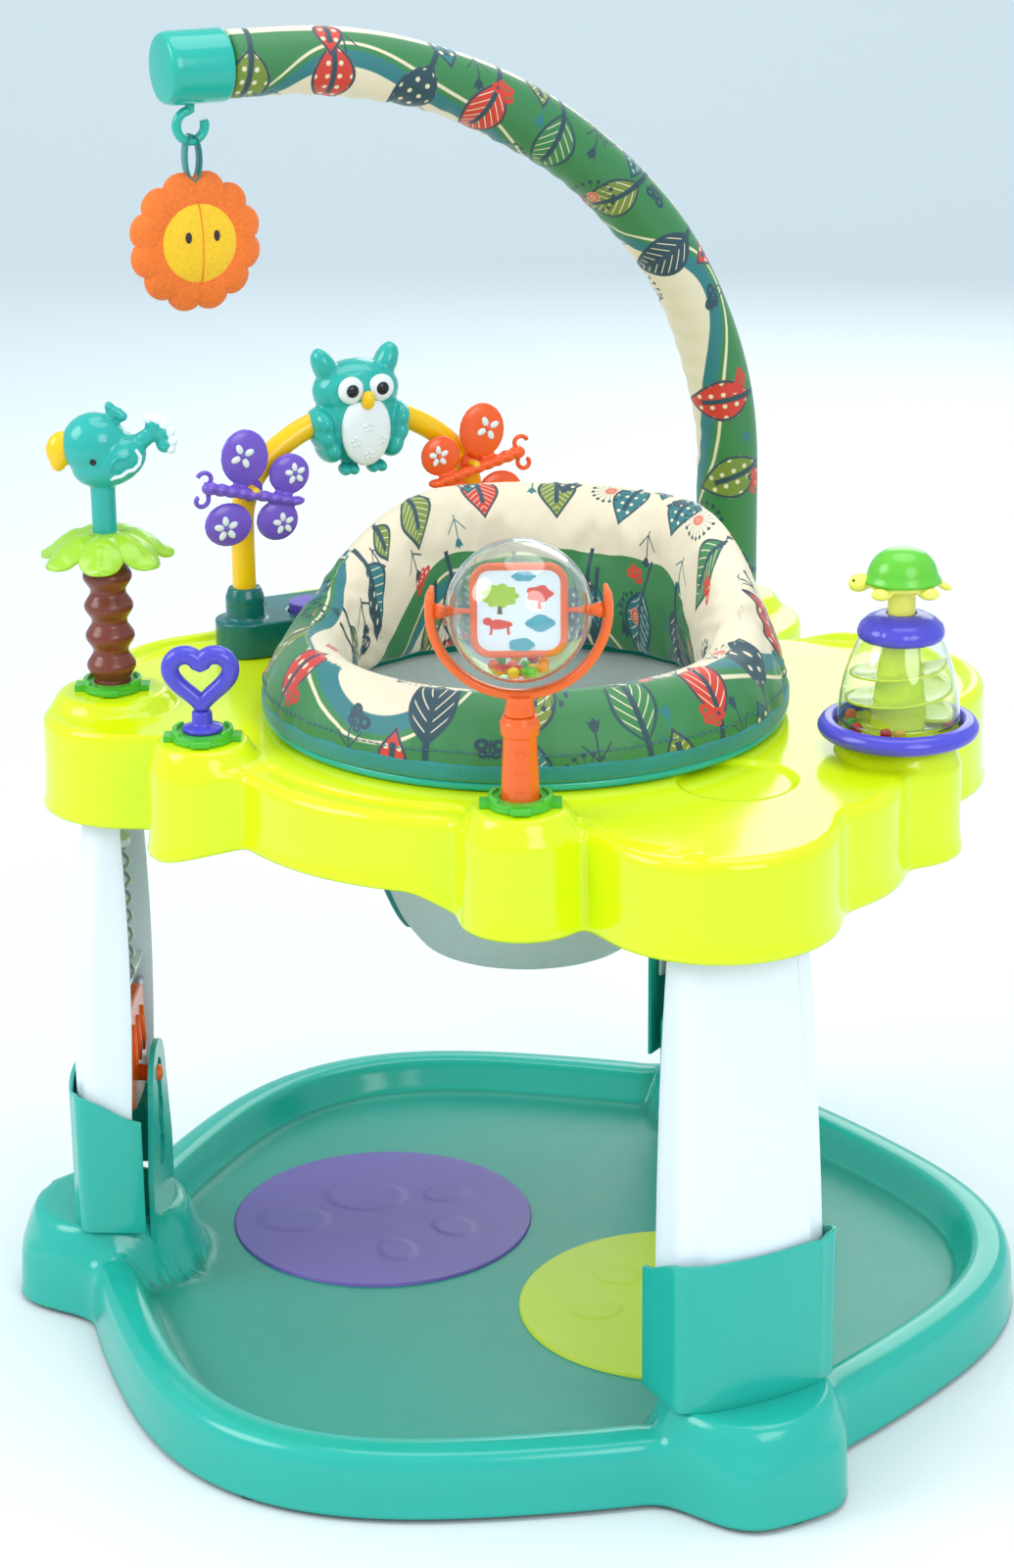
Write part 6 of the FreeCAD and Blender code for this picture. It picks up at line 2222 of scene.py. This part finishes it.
# %% [markdown]
# The overhead bar rises from the tray, bends over in two arcs and ends in a teal cap. A printed sleeve covers
# it, laid out by its length and its girth, with shallow wrinkles where the bar bends.

# %% Overhead bar
BAR_HEADING = 239.5
STRAIGHT, BEND_ONE, BEND_TWO = 0.5415, 0.300, 0.380
COVER_LOW, CAP_START, CAP_END = 0.4503, 0.3911, 0.4351
COVER_RADIUS, CAP_RADIUS = 0.0226, 0.0243
COVER_GIRTH = 0.1414
CABLE_Z = 0.8649


def bar_points(low, end, step=0.004):
    """Points (x, z, lean) up the bar: straight, two arcs of 45 degrees, then level."""
    points = [(0.0, z, math.pi / 2) for z in np.arange(low, STRAIGHT, step)]
    root = math.sqrt(0.5)
    points += [(BEND_ONE * (1 - math.cos(a)), STRAIGHT + BEND_ONE * math.sin(a), math.pi / 2 - a)
               for a in np.arange(0, math.pi / 4, step / BEND_ONE)]
    x0, z0 = BEND_ONE * (1 - root) + BEND_TWO * root, STRAIGHT + BEND_ONE * root - BEND_TWO * root
    points += [(x0 - BEND_TWO * math.cos(a), z0 + BEND_TWO * math.sin(a), math.pi / 2 - a)
               for a in np.arange(math.pi / 4, math.pi / 2, step / BEND_TWO)]
    points += [(x, z0 + BEND_TWO, 0.0) for x in np.arange(x0, end + 1e-6, step)]
    return points


def make_cover():
    place = toy_place(BAR_FOOT, 0, BAR_HEADING)
    points = bar_points(COVER_LOW, CAP_START + 0.001)
    around = 64
    run, rings, uv = 0.0, [], []
    for k, (x, z, lean) in enumerate(points):
        if k:
            run += math.hypot(x - points[k - 1][0], z - points[k - 1][1])
        bend = 1.0 if 0.02 < lean < 1.55 else 0.35
        outward = Vector((-math.sin(lean), 0, math.cos(lean)))
        ring = []
        for n in range(around + 1):
            a = 2 * math.pi * n / around
            inner = max(0.0, -math.cos(a))
            fold = 0.00042 * math.sin(run * 330 + 1.2 * math.sin(a * 2 + run * 20)) * inner * bend
            sag = 0.0007 * math.sin(run * 47 + 1.7 * math.sin(a)) * (0.4 + 0.6 * inner) * bend
            hem = -0.0012 * math.exp(-min(run, 0.05) / 0.004)
            reach = COVER_RADIUS + fold + sag + hem
            ring.append(place @ (Vector((x, 0, z)) + outward * math.cos(a) * reach
                                 + Vector((0, math.sin(a) * reach, 0))))
            uv.append((run * 10, COVER_GIRTH * 10 * n / around))
        rings.append(ring)
    bm = loft(rings, closed=False)
    cover = finish_mesh("bar_printed_cover", bm, [BAR_PRINT], "tray", "bar_cover")
    layer = cover.data.uv_layers.new(name="cloth")
    for face in cover.data.polygons:
        for corner, vertex in zip(face.loop_indices, face.vertices):
            layer.data[corner].uv = uv[vertex]
    bm = bmesh.new()
    bm.from_mesh(cover.data)
    merge(bm, 1e-6)
    bmesh.ops.holes_fill(bm, edges=bm.edges)
    face_out(bm)
    bm.to_mesh(cover.data)
    bm.free()
    for face in cover.data.polygons:
        face.use_smooth = True
    return [place @ Vector((x, 0, z)) for x, z, _ in points]


def make_cap():
    place = toy_place(BAR_FOOT, CABLE_Z, BAR_HEADING)
    profile = [(0.0, CAP_START - 0.0010), (0.0240, CAP_START - 0.0010), (CAP_RADIUS, CAP_START + 0.003),
               (CAP_RADIUS, CAP_END - 0.006),
               (0.0225, CAP_END - 0.001), (0.0, CAP_END)]
    rings = []
    for reach, x in rounded(profile, 0.003, 5):
        rings.append([place @ Vector((x, reach * math.cos(a), reach * math.sin(a))) for a in np.linspace(0,
            2 * math.pi, 72, endpoint=False)])
    bm = loft(rings)
    merge(bm, 1e-6)
    face_out(bm)
    finish_mesh("bar_end_cap", bm, [TEAL], "tray", "bar_cap")


BAR_PRINT = printed_fabric("bar_printed_fabric", (0.800, 0.660, 0.475))
COVER_LINE = make_cover()
make_cap()
print("bar done", len(COVER_LINE))

# %% [markdown]
# The plush sun hangs from a hook in the cap by a webbing loop. Its rays and its face are stuffed cushions, so
# each is a closed, crowned form that thins towards a pulled-in edge.

# %% Sun
HOOK_X, HOOK_Z = 0.4146, 0.8266
HOOK_BEND = 0.0100
FACE_EDGE = 0.0325
SUN = middle("sun_face")


def sun_axes():
    """The sun's flat side, read from the thinnest direction of its CAD solid."""
    points = np.array([v.co for v in NODES["sun_face"].data.vertices])
    _, _, rows = np.linalg.svd(points - points.mean(axis=0), full_matrices=False)
    front = Vector(rows[2])
    front.z = 0
    front.normalize()
    if front.y > 0:
        front = -front
    across = Vector((-front.y, front.x, 0))
    return Matrix(((across.x, -front.x, 0, SUN.x), (across.y, -front.y, 0, SUN.y), (0, 0, 1, SUN.z),
                   (0, 0, 0, 1)))


def cushion(name, edge, core, thick, material, node):
    """A round cushion: edge(a) is its outline, thick its half thickness at the core radius."""
    place = sun_axes()
    rings = []
    for b in np.linspace(-math.pi / 2, math.pi / 2, 25):
        ring = []
        for a in circle(192):
            reach = core + (edge(a) - core) * math.cos(b) ** 0.8
            depth = thick * math.sin(b) * (1 - 0.35 * (1 - abs(math.sin(b))))
            ring.append(place @ Vector((reach * math.cos(a), depth, reach * math.sin(a))))
        rings.append(ring)
    bm = loft(rings)
    if core < 0.001:
        merge(bm, 1e-4)
    else:
        bmesh.ops.holes_fill(bm, edges=bm.edges)
    face_out(bm)
    piece = finish_mesh(name, bm, [material], "sun", node)
    return piece


def make_sun():
    place = sun_axes()
    cushion("sun_plush_rays", lambda a: 0.0425 + 0.0050 * abs(math.sin(6 * a)) ** 0.65, 0.0280, 0.0085,
            PLUSH_ORANGE, "sun_rays")
    cushion("sun_plush_face", lambda a: FACE_EDGE, 0.0002, 0.0150, PLUSH_YELLOW, "sun_face")
    seam = [place @ Vector((0, -0.0151 * math.cos(t) ** 0.9 if abs(t) < 1.5 else 0.0, FACE_EDGE * math.sin(t)))
            for t in np.linspace(-1.45, 1.45, 40)]
    finish_mesh("sun_face_seam", tube(seam, 0.0004, 8), [PLUSH_ORANGE], "sun")
    for side in (-1, 1):
        bm = bmesh.new()
        egg(bm, Vector((side * 0.0100, -0.0142, 0.0050)), (0.0024, 0.0010, 0.0038))
        dot = finish_mesh(f"sun_eye_{side + 1}", bm, [BROWN_THREAD], "sun")
        dot.data.transform(place)
    smile = [place @ Vector((0.0150 * math.sin(t), -0.0137 + 0.0020 * abs(math.sin(t)), -0.0040 - 0.0075
                             * math.cos(t))) for t in np.linspace(-1.0, 1.0, 24)]
    finish_mesh("sun_smile", tube(smile, 0.0006, 8), [BROWN_THREAD], "sun")


def make_hook():
    place = toy_place(BAR_FOOT, 0, BAR_HEADING)
    ring = [place @ Vector((HOOK_X, 0, CABLE_Z - 0.0230)), place @ Vector((HOOK_X, 0, CABLE_Z - 0.0255))]
    ring += [place @ Vector((HOOK_X + HOOK_BEND * math.sin(a), 0, HOOK_Z + HOOK_BEND * math.cos(a)))
             for a in np.linspace(0, 5.0, 44)]
    finish_mesh("hook_bent_rod", tube(ring, 0.0032, 24), [TEAL], "tray")
    wire_z = HOOK_Z - HOOK_BEND
    spot = place @ Vector((HOOK_X, 0, 0))
    low = SUN.z + 0.0405
    face = sun_axes()
    across = Vector((face[0][0], face[1][0], 0))
    front = Vector((face[0][1], face[1][1], 0))
    rings = []
    for t in circle(64):
        tall = (wire_z + 0.0042 - low) / 2
        at = Vector((spot.x, spot.y, low + tall)) + across * 0.0052 * math.sin(t) + Vector((0, 0,
            tall * math.cos(t)))
        out = (across * math.sin(t) + Vector((0, 0, math.cos(t)))).normalized()
        rings.append([at + front * w + out * d for w, d in ((-0.0050, -0.0005), (0.0050, -0.0005),
                                                            (0.0050, 0.0005), (-0.0050, 0.0005))])
    rings.append(rings[0])
    bm = loft(rings)
    merge(bm, 1e-6)
    face_out(bm)
    finish_mesh("sun_webbing_loop", bm, [TAPE], "sun", "sun_strap")


make_sun()
make_hook()
print("sun done")

# %% [markdown]
# The last CAD pieces stay as they are and only get their materials.

# %% Remaining CAD pieces
DRAWN = {"bar_tube": STEEL, "music_electronics": BOARD}
for name, material in DRAWN.items():
    NODES[name].data.materials.clear()
    NODES[name].data.materials.append(material)
print("kept", len(DRAWN), "CAD pieces")
